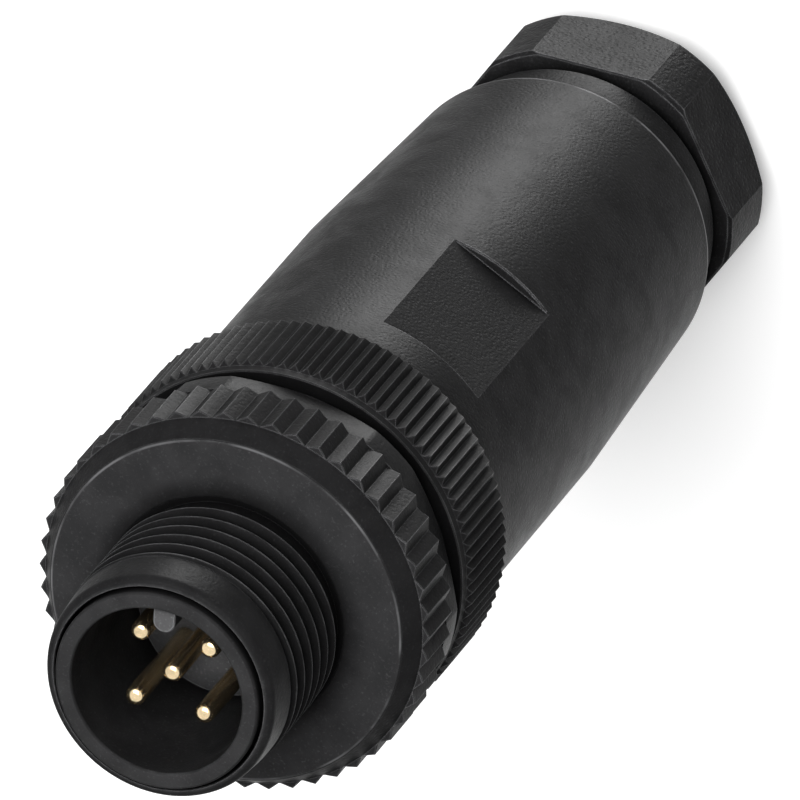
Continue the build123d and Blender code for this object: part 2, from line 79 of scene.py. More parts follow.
class TreeWriter:
    """Writes nodes and links into one geometry or shader tree."""

    def __init__(self, tree: Tree) -> None:
        """Keeps the tree that the nodes go into."""
        self.tree = tree

    def node(self, kind: str, inputs: dict[str, object] | None = None, **settings: object) -> bpy.types.Node:
        """Adds a node, sets its own properties and feeds its inputs.

        Args:
            kind: Blender's type name of the node.
            inputs: sockets or plain values for its inputs, by name.
            settings: properties of the node, by name.

        Returns:
            The new node.
        """
        made = self.tree.nodes.new(kind)
        for name, value in settings.items():
            setattr(made, name, value)
        for name, value in (inputs or {}).items():
            self.feed(made.inputs[name], value)
        return made

    def feed(self, socket: Socket, value: object) -> None:
        """Links a socket to another, or sets its value when it is given a plain one."""
        if isinstance(value, Socket):
            self.tree.links.new(value, socket)
        else:
            socket.default_value = value

    def math(self, operation: str, *values: object) -> Socket:
        """Adds a Math node.

        Args:
            operation: the node's operation, such as ADD.
            values: sockets or numbers for its inputs, in order.

        Returns:
            The node's output socket.
        """
        made = self.node("ShaderNodeMath", operation=operation)
        for place, value in enumerate(values):
            self.feed(made.inputs[place], value)
        return made.outputs[0]

    def mix(self, share: object, low: object, high: object) -> Socket:
        """Goes from low to high as share goes from 0 to 1, for plain numbers."""
        return self.math("MULTIPLY_ADD", self.math("SUBTRACT", high, low), share, low)

    def clamp(self, value: object) -> Socket:
        """Keeps a number between 0 and 1."""
        return self.math("MINIMUM", self.math("MAXIMUM", value, 0.0), 1.0)

    def smooth(self, value: object) -> Socket:
        """Clamps a number to 0 to 1 and eases both of its ends."""
        return self.node("ShaderNodeMapRange", {"Value": value}, interpolation_type="SMOOTHSTEP").outputs[0]

    def ramp(self, value: object, gain: float, start: float) -> Socket:
        """Scales and shifts a number, then smooths it."""
        return self.smooth(self.math("MULTIPLY_ADD", value, gain, start))

    def parts(self, vector: Socket) -> bpy.types.bpy_prop_collection:
        """Splits a vector into its X, Y and Z."""
        return self.node("ShaderNodeSeparateXYZ", {"Vector": vector}).outputs

    def noise(self, place: Socket, scale: object, **settings: float) -> Socket:
        """Adds a noise texture.

        Args:
            place: the point that is shaded.
            scale: its scale.
            settings: its other inputs, by name.

        Returns:
            The noise, about 0.5 on average.
        """
        return self.node("ShaderNodeTexNoise", {"Vector": place, "Scale": scale, **settings}).outputs["Fac"]

    def blend(self, share: Socket, under: object, over: object, **settings: object) -> Socket:
        """Goes from one colour to another as share goes from 0 to 1."""
        inputs = {"Factor": share, "A": under, "B": over}
        return self.node("ShaderNodeMix", inputs, data_type="RGBA", **settings).outputs["Result"]

    def bump(self, height: Socket, depth: float) -> Socket:
        """Turns a height, times a depth in millimetres, into a normal."""
        inputs = {"Strength": 1.0, "Distance": depth * MM, "Height": height}
        return self.node("ShaderNodeBump", inputs).outputs["Normal"]

    def surface(self, inputs: dict[str, object]) -> None:
        """Ends a material with a Principled shader that has these inputs."""
        shader = self.node("ShaderNodeBsdfPrincipled", inputs)
        self.node("ShaderNodeOutputMaterial", {"Surface": shader.outputs["BSDF"]})

    def seen_directly(self) -> Socket:
        """One for camera, glossy and transmission rays, and nought for the light that is shed."""
        rays = self.node("ShaderNodeLightPath").outputs
        seen = self.math("MAXIMUM", rays["Is Camera Ray"], rays["Is Glossy Ray"])
        return self.math("MAXIMUM", seen, rays["Is Transmission Ray"])


def fresh_tree(owner: Material | bpy.types.World) -> TreeWriter:
    """Empties the node tree of a material or world and gives its writer."""
    owner.use_nodes = True
    owner.node_tree.nodes.clear()
    return TreeWriter(owner.node_tree)


def new_interface(tree: Tree, inputs: dict[str, str], outputs: dict[str, str]) -> None:
    """Gives a tree its named inputs and outputs.

    Args:
        tree: the node tree.
        inputs: the kind of each input, by name.
        outputs: the kind of each output, by name.
    """
    for side, sockets in (("INPUT", inputs), ("OUTPUT", outputs)):
        for name, kind in sockets.items():
            tree.interface.new_socket(name=name, in_out=side, socket_type="NodeSocket" + kind)


def placed(name: str, data: bpy.types.ID) -> bpy.types.Object:
    """Puts data into the scene as an object of that name."""
    body = bpy.data.objects.new(name, data)
    bpy.context.scene.collection.objects.link(body)
    return body


def evaluated_mesh(body: bpy.types.Object) -> Mesh:
    """Copies the mesh that an object's modifiers give."""
    graph = bpy.context.evaluated_depsgraph_get()
    return bpy.data.meshes.new_from_object(body.evaluated_get(graph), depsgraph=graph)


def kept_mesh(name: str, made: bmesh.types.BMesh) -> Mesh:
    """Keeps what was built as a mesh of that name, and frees it."""
    mesh = bpy.data.meshes.new(name)
    made.to_mesh(mesh)
    made.free()
    return mesh


def dress(mesh: Mesh, material: Material) -> None:
    """Gives a mesh one material all over."""
    mesh.materials.clear()
    mesh.materials.append(material)
    for polygon in mesh.polygons:
        polygon.material_index = 0


def shape_by_rule(name: str, tree: Tree, lengths: dict[str, float], values: dict[str, object]) -> Mesh:
    """Runs a geometry tree on an empty mesh and keeps what it makes.

    Args:
        name: name of the mesh.
        tree: the geometry tree.
        lengths: those of its inputs that are lengths, in millimetres.
        values: its other inputs.

    Returns:
        The made mesh, with no modifier on it.
    """
    given = {key: length * MM for key, length in lengths.items()} | values
    carrier = placed(name + "_rule", bpy.data.meshes.new(name + "_rule"))
    modifier = carrier.modifiers.new("rule", "NODES")
    modifier.node_group = tree
    for item in tree.interface.items_tree:
        if item.item_type == "SOCKET" and item.in_out == "INPUT" and item.name in given:
            modifier[item.identifier] = given[item.name]
    carrier.update_tag()
    mesh = evaluated_mesh(carrier)
    mesh.name = name
    carrier.modifiers.remove(modifier)
    bpy.data.objects.remove(carrier)
    return mesh


class BandTree:
    """Shared start and end of the trees that wrap a grid round the axis."""

    def __init__(self, name: str, sizes: list[str], counts: list[str]) -> None:
        """Makes the tree with its named inputs.

        Args:
            name: name of the tree.
            sizes: names of the inputs that are lengths, angles or shares.
            counts: names of the inputs that are whole numbers.
        """
        self.tree = bpy.data.node_groups.new(name, "GeometryNodeTree")
        inputs = {"Geometry": "Geometry"} | dict.fromkeys(sizes, "Float") | dict.fromkeys(counts, "Int")
        new_interface(self.tree, inputs | {"Material": "Material"}, {"Geometry": "Geometry"})
        self.write = TreeWriter(self.tree)
        self.given = self.write.node("NodeGroupInput").outputs

    def grid(self, columns: object, rows: object) -> tuple[Socket, Socket, Socket]:
        """Starts from a grid, one column for each step round the axis.

        Args:
            columns: columns round the axis, plus one for the seam.
            rows: rows along the axis.

        Returns:
            The grid's geometry, the share of a turn and the row number at each point.
        """
        write = self.write
        grid = write.node("GeometryNodeMeshGrid", {"Vertices X": columns, "Vertices Y": rows})
        place = write.parts(write.node("GeometryNodeInputPosition").outputs[0])
        share = write.math("ADD", place["X"], 0.5)
        last_row = write.math("SUBTRACT", rows, 1.0)
        row = write.math("ROUND", write.math("MULTIPLY", write.math("ADD", place["Y"], 0.5), last_row))
        return grid.outputs["Mesh"], share, row

    def close(self, geometry: Socket, share: Socket, radius: Socket, height: Socket) -> None:
        """Wraps the grid, closes its seam and ends the tree.

        Args:
            geometry: the flat grid.
            share: share of a turn at each point.
            radius: distance from the axis at each point.
            height: height at each point.
        """
        write = self.write
        turn = write.math("MULTIPLY", share, FULL_TURN)
        point = write.node("ShaderNodeCombineXYZ", {
            "X": write.math("MULTIPLY", radius, write.math("COSINE", turn)),
            "Y": write.math("MULTIPLY", radius, write.math("SINE", turn)),
            "Z": height,
        })
        for kind, inputs in (
            ("GeometryNodeSetPosition", {"Position": point.outputs[0]}),
            ("GeometryNodeMergeByDistance", {"Distance": MERGE_DISTANCE}),
            ("GeometryNodeRealizeInstances", {}),
            ("GeometryNodeSetMaterial", {"Material": self.given["Material"]}),
        ):
            geometry = write.node(kind, {"Geometry": geometry} | inputs).outputs[0]
        write.node("NodeGroupOutput", {"Geometry": geometry})


def thread_tree() -> Tree:
    """Builds the rule for a right-hand thread that fades into plain rings at both ends.

    Returns:
        The geometry tree.
    """
    sizes = ["Crest Radius", "Root Radius", "Pitch", "Low", "High", "Crest Height"]
    sizes += ["Low Radius", "High Radius", "Low Fade", "High Fade", "Crest Share", "Root Share"]
    band = BandTree("thread_rule", sizes, ["Columns", "Rows A Turn"])
    write, given = band.write, band.given
    turns_added = 100.0  # keeps the phase above nought
    span = write.math("ADD", write.math("SUBTRACT", given["High"], given["Low"]), given["Pitch"])
    step = write.math("DIVIDE", given["Pitch"], given["Rows A Turn"])
    rows = write.math("ADD", write.math("ROUND", write.math("DIVIDE", span, step)), 1.0)
    grid, share, row = band.grid(write.math("ADD", given["Columns"], 1.0), rows)
    start = write.math("SUBTRACT", given["Low"], given["Pitch"])
    rise = write.math("MULTIPLY_ADD", row, step, write.math("MULTIPLY", share, given["Pitch"]))
    height = write.math("MAXIMUM", write.math("ADD", start, rise), given["Low"])
    height = write.math("MINIMUM", height, given["High"])
    turns = write.math("DIVIDE", write.math("SUBTRACT", height, given["Crest Height"]), given["Pitch"])
    phase = write.math("FRACT", write.math("ADD", write.math("SUBTRACT", turns, share), turns_added))
    peak = write.math("ABSOLUTE", write.math("MULTIPLY_ADD", phase, 2.0, -1.0))
    flank = write.math("SUBTRACT", write.math("SUBTRACT", 1.0, given["Root Share"]), given["Crest Share"])
    lifted = write.clamp(write.math("DIVIDE", write.math("SUBTRACT", peak, given["Root Share"]), flank))
    radius = write.mix(lifted, given["Root Radius"], given["Crest Radius"])
    for end, upper, lower in (("Low", height, given["Low"]), ("High", given["High"], height)):
        inside = write.math("DIVIDE", write.math("SUBTRACT", upper, lower), given[end + " Fade"])
        radius = write.mix(write.smooth(inside), given[end + " Radius"], radius)
    band.close(grid, share, radius, height)
    return band.tree


def ridge_tree() -> Tree:
    """Builds the rule for a band of V ridges with broken edges and sloped or square ends.

    Returns:
        The geometry tree.
    """
    sizes = ["Crest Radius", "Root Radius", "First Crest", "Rear", "Front", "Edge"]
    sizes += ["Rear Radius", "Front Radius", "Rear Slope", "Front Slope"]
    band = BandTree("ridge_rule", sizes, ["Ridges", "Points A Ridge"])
    write, given = band.write, band.given
    rows = 6
    last = rows - 1.0
    columns = write.math("MULTIPLY_ADD", given["Ridges"], given["Points A Ridge"], 1.0)
    grid, share, row = band.grid(columns, rows)
    first = write.math("DIVIDE", given["First Crest"], FULL_TURN)
    around = write.math("MULTIPLY", write.math("ADD", write.math("SUBTRACT", share, first), 1.0), given["Ridges"])
    peak = write.math("ABSOLUTE", write.math("MULTIPLY_ADD", write.math("FRACT", around), 2.0, -1.0))
    ridge = write.mix(peak, given["Root Radius"], given["Crest Radius"])
    front = write.math("GREATER_THAN", row, last / 2)
    inward = write.mix(front, row, write.math("SUBTRACT", last, row))
    end_radius = write.mix(front, given["Rear Radius"], given["Front Radius"])
    end_height = write.mix(front, given["Rear"], given["Front"])
    slope = write.mix(front, given["Rear Slope"], given["Front Slope"])
    on_side = write.math("GREATER_THAN", inward, 1.5)
    off_ring = write.math("GREATER_THAN", inward, 0.5)
    below = write.math("MULTIPLY", given["Edge"], write.math("SUBTRACT", 1.0, on_side))
    reached = write.math("MAXIMUM", write.math("SUBTRACT", ridge, below), end_radius)
    radius = write.mix(off_ring, end_radius, reached)
    climb = write.math("MULTIPLY", write.math("SUBTRACT", radius, end_radius), slope)
    climb = write.math("MULTIPLY_ADD", given["Edge"], on_side, climb)
    height = write.math("MULTIPLY_ADD", climb, write.mix(front, 1.0, -1.0), end_height)
    band.close(grid, share, radius, height)
    return band.tree


def pin_tree() -> Tree:
    """Builds the rule for a turned contact pin with a rounded tip.

    Returns:
        The geometry tree.
    """
    sizes = ["Radius", "Tip Round", "Foot", "Tip", "Foot Radius", "Step", "Step Edge"]
    band = BandTree("pin_rule", sizes, ["Columns", "Tip Rows"])
    write, given = band.write, band.given
    shank_rows = 5.0
    rows = write.math("ADD", given["Tip Rows"], shank_rows + 2.0)
    grid, share, row = band.grid(write.math("ADD", given["Columns"], 1.0), rows)
    back = write.clamp(write.math("DIVIDE", write.math("SUBTRACT", row, shank_rows), given["Tip Rows"]))
    swing = write.math("MULTIPLY", back, math.pi / 2)
    inner = write.math("SUBTRACT", given["Radius"], given["Tip Round"])
    middle = write.math("SUBTRACT", given["Tip"], given["Tip Round"])
    radius = write.math("MULTIPLY_ADD", given["Tip Round"], write.math("COSINE", swing), inner)
    height = write.math("MULTIPLY_ADD", given["Tip Round"], write.math("SINE", swing), middle)
    closed = write.math("GREATER_THAN", row, write.math("ADD", given["Tip Rows"], shank_rows + 0.5))
    radius = write.mix(closed, radius, 0.0)
    shank_edge = write.math("SUBTRACT", given["Foot Radius"], given["Step Edge"])
    below_step = write.math("SUBTRACT", given["Step"], given["Step Edge"])
    for number, (row_radius, row_height) in enumerate((
        (0.0, given["Foot"]),
        (given["Foot Radius"], given["Foot"]),
        (given["Foot Radius"], below_step),
        (shank_edge, given["Step"]),
        (given["Radius"], given["Step"]),
    )):
        here = write.math("COMPARE", row, float(number), 0.5)
        radius = write.mix(here, radius, row_radius)
        height = write.mix(here, height, row_height)
    band.close(grid, share, radius, height)
    return band.tree


def outside_thread(name: str, rule: Tree, finish: Material, lengths: dict[str, float], columns: int) -> Mesh:
    """Makes a thread with a pitch of 1 mm and narrow flats, which starts its crest at its low end.

    Args:
        name: name of the mesh.
        rule: the thread's geometry tree.
        finish: its material.
        lengths: its radii, low end and high end, in millimetres.
        columns: points round the axis.

    Returns:
        The thread's skin, open at both ends.
    """
    ends = {"Pitch": 1.0, "Crest Height": lengths["Low"], "Low Fade": 0.3, "High Fade": 0.4}
    return shape_by_rule(name, rule, lengths | ends, {
        "Crest Share": 0.18, "Root Share": 0.20, "Columns": columns, "Rows A Turn": ROWS_A_TURN, "Material": finish})


def whole_rows(span: float) -> float:
    """Rounds a thread's length to whole rows of its mesh."""
    return round(span * ROWS_A_TURN) / ROWS_A_TURN


# Meshes


def join_rows(made: bmesh.types.BMesh, rows: list[list[bmesh.types.BMVert]]) -> None:
    """Adds the faces between rings of points that follow each other."""
    for low, high in zip(rows, rows[1:]):
        for place in range(len(low)):
            after = (place + 1) % len(low)
            made.faces.new((low[place], low[after], high[after], high[place]))

class Shell:
    """Rings of points round the axis, joined into one skin."""

    def __init__(self, angles: list[float]) -> None:
        """Keeps the angles, in radians, at which every ring has a point."""
        self.angles = angles
        self.rings: list[list[Vector]] = []

    def ring(self, radius: float, height: float) -> None:
        """Adds a round ring, in millimetres."""
        self.shaped(lambda turn: radius, lambda turn: height)

    def shaped(self, radius: RadiusRule, height: RadiusRule) -> None:
        """Adds a ring whose radius and height depend on the angle, in millimetres.

        Args:
            radius: radius at an angle.
            height: height at an angle.
        """
        points = []
        for turn in self.angles:
            reach = radius(turn) * MM
            points.append(Vector((reach * math.cos(turn), reach * math.sin(turn), height(turn) * MM)))
        self.rings.append(points)

    def seam(self, radius: float, height: float) -> None:
        """Adds a round ring at even angles, where another skin joins this one."""
        kept, self.angles = self.angles, even_angles(len(self.angles))
        self.ring(radius, height)
        self.angles = kept

    def profile(self, *corners: Corner) -> None:
        """Adds a round ring for each (radius, height) in millimetres."""
        for radius, height in corners:
            self.ring(radius, height)

    def mesh(self, name: str, closed: bool = False) -> Mesh:
        """Skins the rings in order.

        Args:
            name: name of the mesh.
            closed: whether the last ring joins the first.

        Returns:
            The mesh, with points that coincide merged.
        """
        made = bmesh.new()
        rows = [[made.verts.new(point) for point in ring] for ring in self.rings]
        join_rows(made, rows + rows[:1] if closed else rows)
        bmesh.ops.remove_doubles(made, verts=made.verts, dist=MERGE_DISTANCE)
        return kept_mesh(name, made)


def turned(name: str, columns: int, *corners: Corner) -> Mesh:
    """Makes a round skin from its profile, (radius, height) in millimetres."""
    shell = Shell(even_angles(columns))
    shell.profile(*corners)
    return shell.mesh(name)


def even_angles(count: int) -> list[float]:
    """Angles in radians, evenly round a turn."""
    return [FULL_TURN * place / count for place in range(count)]


def with_angles(count: int, wanted: list[float]) -> list[float]:
    """Even angles round a turn, with those nearest to the wanted ones moved onto them.

    Args:
        count: number of angles.
        wanted: angles in degrees that must be there.

    Returns:
        Angles in radians.
    """
    angles = even_angles(count)
    for degrees in wanted:
        turn = math.radians(degrees) % FULL_TURN
        place = round(turn / FULL_TURN * count)
        if place < count:
            angles[place] = turn
    return angles


def direction(azimuth: float, rise: float = 0.0) -> Vector:
    """The unit vector at an azimuth and a rise in degrees."""
    turn, lift = math.radians(azimuth), math.radians(rise)
    return Vector((math.cos(lift) * math.cos(turn), math.cos(lift) * math.sin(turn), math.sin(lift)))


def arc(centre: Corner, radius: float, start: float, end: float, steps: int) -> list[Corner]:
    """Points of an arc in the plane of radius and height.

    Args:
        centre: its centre, as radius and height in millimetres.
        radius: its own radius.
        start: first angle in degrees, 0 pointing outwards.
        end: last angle.
        steps: number of pieces.

    Returns:
        (radius, height) pairs.
    """
    points = []
    for step in range(steps + 1):
        turn = math.radians(start + (end - start) * step / steps)
        points.append((centre[0] + radius * math.cos(turn), centre[1] + radius * math.sin(turn)))
    return points


def hexagon(half_width: float, corner_radius: float, flat_angle: float) -> RadiusRule:
    """Radius of a hexagon with corners cut by a circle.

    Args:
        half_width: distance of its flats from the axis.
        corner_radius: the circle's radius.
        flat_angle: direction of one flat, in degrees.

    Returns:
        The rule that gives the radius at an angle in radians.
    """
    def radius(turn: float) -> float:
        """The radius at one angle."""
        off = (math.degrees(turn) - flat_angle + 30.0) % 60.0 - 30.0
        return min(corner_radius, half_width / math.cos(math.radians(off)))
    return radius


def hexagon_edges(half_width: float, corner_radius: float, flat_angle: float) -> list[float]:
    """Angles in degrees at which that hexagon's flats meet its round corners."""
    half = math.degrees(math.acos(half_width / corner_radius))
    return [flat_angle + 60.0 * side + end for side in range(6) for end in (-half, half)]


@dataclass(frozen=True)
class Piece:
    """Where a finished mesh belongs."""

    name: str
    body: str
    nodes: tuple[str, ...]
    slot: str
    sharp_degrees: float = 24.0
    face_weight: int = 80

    def place(self, meshes: list[Mesh], material: Material) -> None:
        """Joins meshes into one object, dresses it and sets it on its body.

        Args:
            meshes: parts of the piece, whose open edges meet.
            material: its finish.
        """
        joined = bmesh.new()
        for mesh in meshes:
            joined.from_mesh(mesh)
            bpy.data.meshes.remove(mesh)
        bmesh.ops.remove_doubles(joined, verts=joined.verts, dist=MERGE_DISTANCE)
        bmesh.ops.dissolve_degenerate(joined, edges=joined.edges, dist=MERGE_DISTANCE)
        bmesh.ops.recalc_face_normals(joined, faces=joined.faces)
        made = kept_mesh(self.name, joined)
        dress(made, material)
        made.shade_smooth()
        made.set_sharp_from_angle(angle=math.radians(self.sharp_degrees))
        body = placed(self.name, made)
        self.even_shading(body)
        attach(body, self.body)
        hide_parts(*self.nodes)
        log.info("%s: %d faces on %s", self.name, len(body.data.polygons), self.body)

    def even_shading(self, body: bpy.types.Object) -> None:
        """Weights the smooth shading by face size, so that broken edges don't shade the large faces."""
        modifier = body.modifiers.new("even_shading", "WEIGHTED_NORMAL")
        modifier.keep_sharp = True
        modifier.weight = self.face_weight
        finished = evaluated_mesh(body)
        finished.name = body.name
        raw = body.data
        body.modifiers.remove(modifier)
        body.data = finished
        bpy.data.meshes.remove(raw)


# Finishes


class Effects:
    """The shader node groups that several finishes share."""

    def __init__(self) -> None:
        """Builds each group once."""
        self.grain = self.moulded_grain()
        self.rubbed_edges_and_highlight = self.edge_light()

    @staticmethod
    def moulded_grain() -> Tree:
        """Fine spark-eroded grain with larger, softer mottling.

        Returns:
            A group that puts out Height, Mottle and Specks.
        """
        tree = bpy.data.node_groups.new("moulded_grain", "ShaderNodeTree")
        new_interface(tree, {"Vector": "Vector", "Grain Scale": "Float", "Mottle Scale": "Float"},
                      dict.fromkeys(("Height", "Mottle", "Specks"), "Float"))
        write = TreeWriter(tree)
        given = write.node("NodeGroupInput").outputs
        place, grain_scale = given["Vector"], given["Grain Scale"]
        pit_scale, pit_gain, pit_share, fine_share = 0.55, 1.6, 0.45, 0.75
        fine = write.noise(place, grain_scale, Detail=3.0, Roughness=0.62)
        broad = write.noise(place, given["Mottle Scale"], Detail=4.0, Roughness=0.6, Distortion=0.4)
        cells = write.node("ShaderNodeTexVoronoi", {
            "Vector": place, "Scale": write.math("MULTIPLY", grain_scale, pit_scale)}, feature="F1")
        pits = write.smooth(write.math("MULTIPLY", cells.outputs["Distance"], pit_gain))
        write.node("NodeGroupOutput", {
            "Height": write.math("MULTIPLY_ADD", pits, pit_share, write.math("MULTIPLY", fine, fine_share)),
            "Mottle": write.ramp(broad, 2.6, -0.8),
            "Specks": write.ramp(fine, 5.0, -2.75),
        })
        return tree

    @staticmethod
    def edge_light() -> Tree:
        """Finds outer edges, which are rubbed a little smoother and are painted paler as highlights.

        Returns:
            A group that puts out Edge, 1 along the edges.
        """
        tree = bpy.data.node_groups.new("edge_light", "ShaderNodeTree")
        new_interface(tree, {"Vector": "Vector", "Reach": "Float", "Break Scale": "Float"}, {"Edge": "Float"})
        write = TreeWriter(tree)
        given = write.node("NodeGroupInput").outputs
        edge_strength, break_gain, break_start = 9.0, 1.4, -0.1
        rounded = write.node("ShaderNodeBevel", {"Radius": given["Reach"]}, samples=4)
        plain = write.node("ShaderNodeNewGeometry")
        alike = write.node("ShaderNodeVectorMath", operation="DOT_PRODUCT")
        write.feed(alike.inputs[0], rounded.outputs["Normal"])
        write.feed(alike.inputs[1], plain.outputs["Normal"])
        away = write.math("SUBTRACT", 1.0, alike.outputs["Value"])
        broken = write.noise(given["Vector"], given["Break Scale"], Detail=3.0)
        kept = write.math("MULTIPLY_ADD", broken, break_gain, break_start)
        strong = write.math("MULTIPLY", write.math("MULTIPLY", away, edge_strength), kept)
        write.node("NodeGroupOutput", {"Edge": write.smooth(strong)})
        return tree


class Tone(Enum):
    """Named colours of the finishes, as linear red, green and blue."""

    SLEEVE_BLACK = (0.0062, 0.0062, 0.0064)
    SCREW_BLACK = (0.0070, 0.0070, 0.0072)
    CARRIER_BLACK = (0.0080, 0.0080, 0.0082)
    SEAL_BLACK = (0.016, 0.016, 0.016)
    NATURAL_POLYAMIDE = (0.62, 0.60, 0.53)
    GOLD = (0.86, 0.68, 0.42)
    TINNED = (0.62, 0.60, 0.55)
    ZINC = (0.55, 0.56, 0.58)

    def rgba(self, gain: float = 1.0) -> tuple[float, float, float, float]:
        """The colour with alpha, made lighter or darker by a gain."""
        return tuple(min(1.0, part * gain) for part in self.value) + (1.0,)


def grain_of(write: TreeWriter, effects: Effects, grain_size: float,
             mottle_size: float) -> bpy.types.bpy_prop_collection:
    """Puts the grain group into a material.

    Args:
        write: the material's tree.
        effects: the shared node groups.
        grain_size: size of the grain, in millimetres.
        mottle_size: size of the mottling.

    Returns:
        The group's outputs.
    """
    return write.node("ShaderNodeGroup", {
        "Vector": write.node("ShaderNodeTexCoord").outputs["Object"],
        "Grain Scale": 1 / (grain_size * MM), "Mottle Scale": 1 / (mottle_size * MM),
    }, node_tree=effects.grain).outputs


@dataclass(frozen=True)
class MouldedFinish:
    """A moulded plastic or rubber with grain, mottling, smoother edges painted paler as highlights, painted shade in
    nooks and painted light on faces square to the axis, in millimetres.
    """

    name: str
    tone: Tone
    pale_gain: float = 4.2
    speck_share: float = 0.70
    mottle_share: float = 0.25
    roughness: float = 0.40
    roughness_spread: float = 0.12
    speck_polish: float = 0.10
    edge_polish: float = 0.12
    specular: float = 0.0095
    # painted reflection on faces square to the axis, painted shade where it is below 1
    face_light_gain: float = 1.75
    grain_size: float = 0.13
    mottle_size: float = 2.2
    grain_depth: float = 0.014
    edge_reach: float = 0.10
    # strength of the painted highlight along edges
    edge_highlight_gain: float = 3.2
    edge_break: float = 0.9
    nook_reach: float = 1.6
    # how dark the painted shade in nooks is
    nook_shade_gain: float = 0.3
    nook_roughness: float = 0.85
    pale_zone: tuple[float, float, float] | None = None
    # height, radius, width, break and strength of a painted highlight line
    highlight_line_height: float | None = None
    highlight_line_radius: float | None = None
    highlight_line_width: float = 0.11
    highlight_line_break: float = 2.6
    highlight_line_strength: float = 0.8

    def build(self, effects: Effects) -> Material:
        """Writes the material's nodes.

        Args:
            effects: the shared node groups.

        Returns:
            The material.
        """
        material = bpy.data.materials.new(self.name)
        write = fresh_tree(material)
        coordinates = write.node("ShaderNodeTexCoord").outputs
        place = coordinates["Object"]
        grain = grain_of(write, effects, self.grain_size, self.mottle_size)
        edge = write.node("ShaderNodeGroup", {
            "Vector": place, "Reach": self.edge_reach * MM, "Break Scale": 1 / (self.edge_break * MM),
        }, node_tree=effects.rubbed_edges_and_highlight).outputs["Edge"]
        mottled = write.math("MULTIPLY", grain["Mottle"], self.mottle_share)
        pale = write.math("MULTIPLY_ADD", grain["Specks"], self.speck_share, mottled)
        colour = write.blend(pale, self.tone.rgba(), self.tone.rgba(self.pale_gain))
        # Painted reflection: faces square to the axis are painted paler; where the gain is below 1 they are painted
        # darker as shade.
        colour = self.painted_face_light(write, coordinates["Normal"], colour)
        if self.pale_zone:
            colour = self.paler(write, place, colour)
        # Painted highlight: a broken line at a set height, and radius, is painted paler like the edges.
        if self.highlight_line_height is not None:
            edge = write.math("MAXIMUM", edge, self.painted_highlight_line(write, place))
        # Painted highlight: outer edges are painted paler than the tone.
        colour = write.blend(edge, colour, self.tone.rgba(self.pale_gain * self.edge_highlight_gain))
        # Painted shade: the base colour is darkened in nooks, and the roughness rises there.
        nook = write.node("ShaderNodeAmbientOcclusion", {"Distance": self.nook_reach * MM}, samples=4)
        open_share = write.math("POWER", nook.outputs["AO"], 2.0)
        matte = write.math("MULTIPLY_ADD", grain["Mottle"], -self.roughness_spread,
                           self.roughness + self.roughness_spread / 2)
        matte = write.math("MULTIPLY_ADD", grain["Specks"], -self.speck_polish, matte)
        rubbed = write.math("MULTIPLY_ADD", edge, -self.edge_polish, matte)
        write.surface({
            "Base Color": write.blend(open_share, self.tone.rgba(self.nook_shade_gain), colour),
            "Roughness": write.mix(open_share, self.nook_roughness, rubbed),
            "Specular IOR Level": self.specular,
            "Normal": write.bump(grain["Height"], self.grain_depth),
        })
        return material

    def painted_face_light(self, write: TreeWriter, normal: Socket, under: Socket) -> Socket:
        """Paints light on faces square to the axis: paler as painted reflection, darker as painted shade where the
        gain is below 1.

        Args:
            write: the material's tree.
            normal: the direction in which the surface points.
            under: the colour so far.

        Returns:
            The new colour.
        """
        upright = write.math("ABSOLUTE", write.parts(normal)["Z"])
        return self.multiplied(write, write.ramp(upright, 16.0, -14.9), under, self.face_light_gain)

    @staticmethod
    def multiplied(write: TreeWriter, share: Socket, under: Socket, gain: float) -> Socket:
        """Multiplies a colour by a gain where a mask is 1."""
        return write.blend(share, under, (gain, gain, gain, 1.0), blend_type="MULTIPLY")

    def painted_highlight_line(self, write: TreeWriter, place: Socket) -> Socket:
        """Finds the painted highlight line, uneven in strength, round the piece at its set height and radius.

        Args:
            write: the material's tree.
            place: the point that is shaded.

        Returns:
            A value that is greatest on the line.
        """
        parts = write.parts(place)
        off = write.math("ABSOLUTE", write.math("SUBTRACT", parts["Z"], self.highlight_line_height * MM))
        if self.highlight_line_radius is not None:
            beside = write.math("SUBTRACT", self.from_axis(write, parts), self.highlight_line_radius * MM)
            off = write.math("MAXIMUM", off, write.math("ABSOLUTE", beside))
        near = write.ramp(off, -1 / (self.highlight_line_width * MM), 1.2)
        kept = write.ramp(write.noise(place, 1 / (self.highlight_line_break * MM), Detail=2.0), 3.2, -1.0)
        return write.math("MULTIPLY", near, write.math("MULTIPLY", kept, self.highlight_line_strength))

    @staticmethod
    def from_axis(write: TreeWriter, parts: bpy.types.bpy_prop_collection) -> Socket:
        """Measures how far a point, given as its X, Y and Z, lies from the axis."""
        return write.math("SQRT", write.math("ADD", write.math("MULTIPLY", parts["X"], parts["X"]),
                                             write.math("MULTIPLY", parts["Y"], parts["Y"])))

    def paler(self, write: TreeWriter, place: Socket, under: Socket) -> Socket:
        """Makes the colour paler near the axis and above a height.

        Args:
            write: the material's tree.
            place: the point that is shaded.
            under: the colour so far.

        Returns:
            The new colour.
        """
        radius, height, gain = self.pale_zone
        parts = write.parts(place)
        near = write.math("LESS_THAN", self.from_axis(write, parts), radius * MM)
        above = write.math("GREATER_THAN", parts["Z"], height * MM)
        return self.multiplied(write, write.math("MULTIPLY", near, above), under, gain)


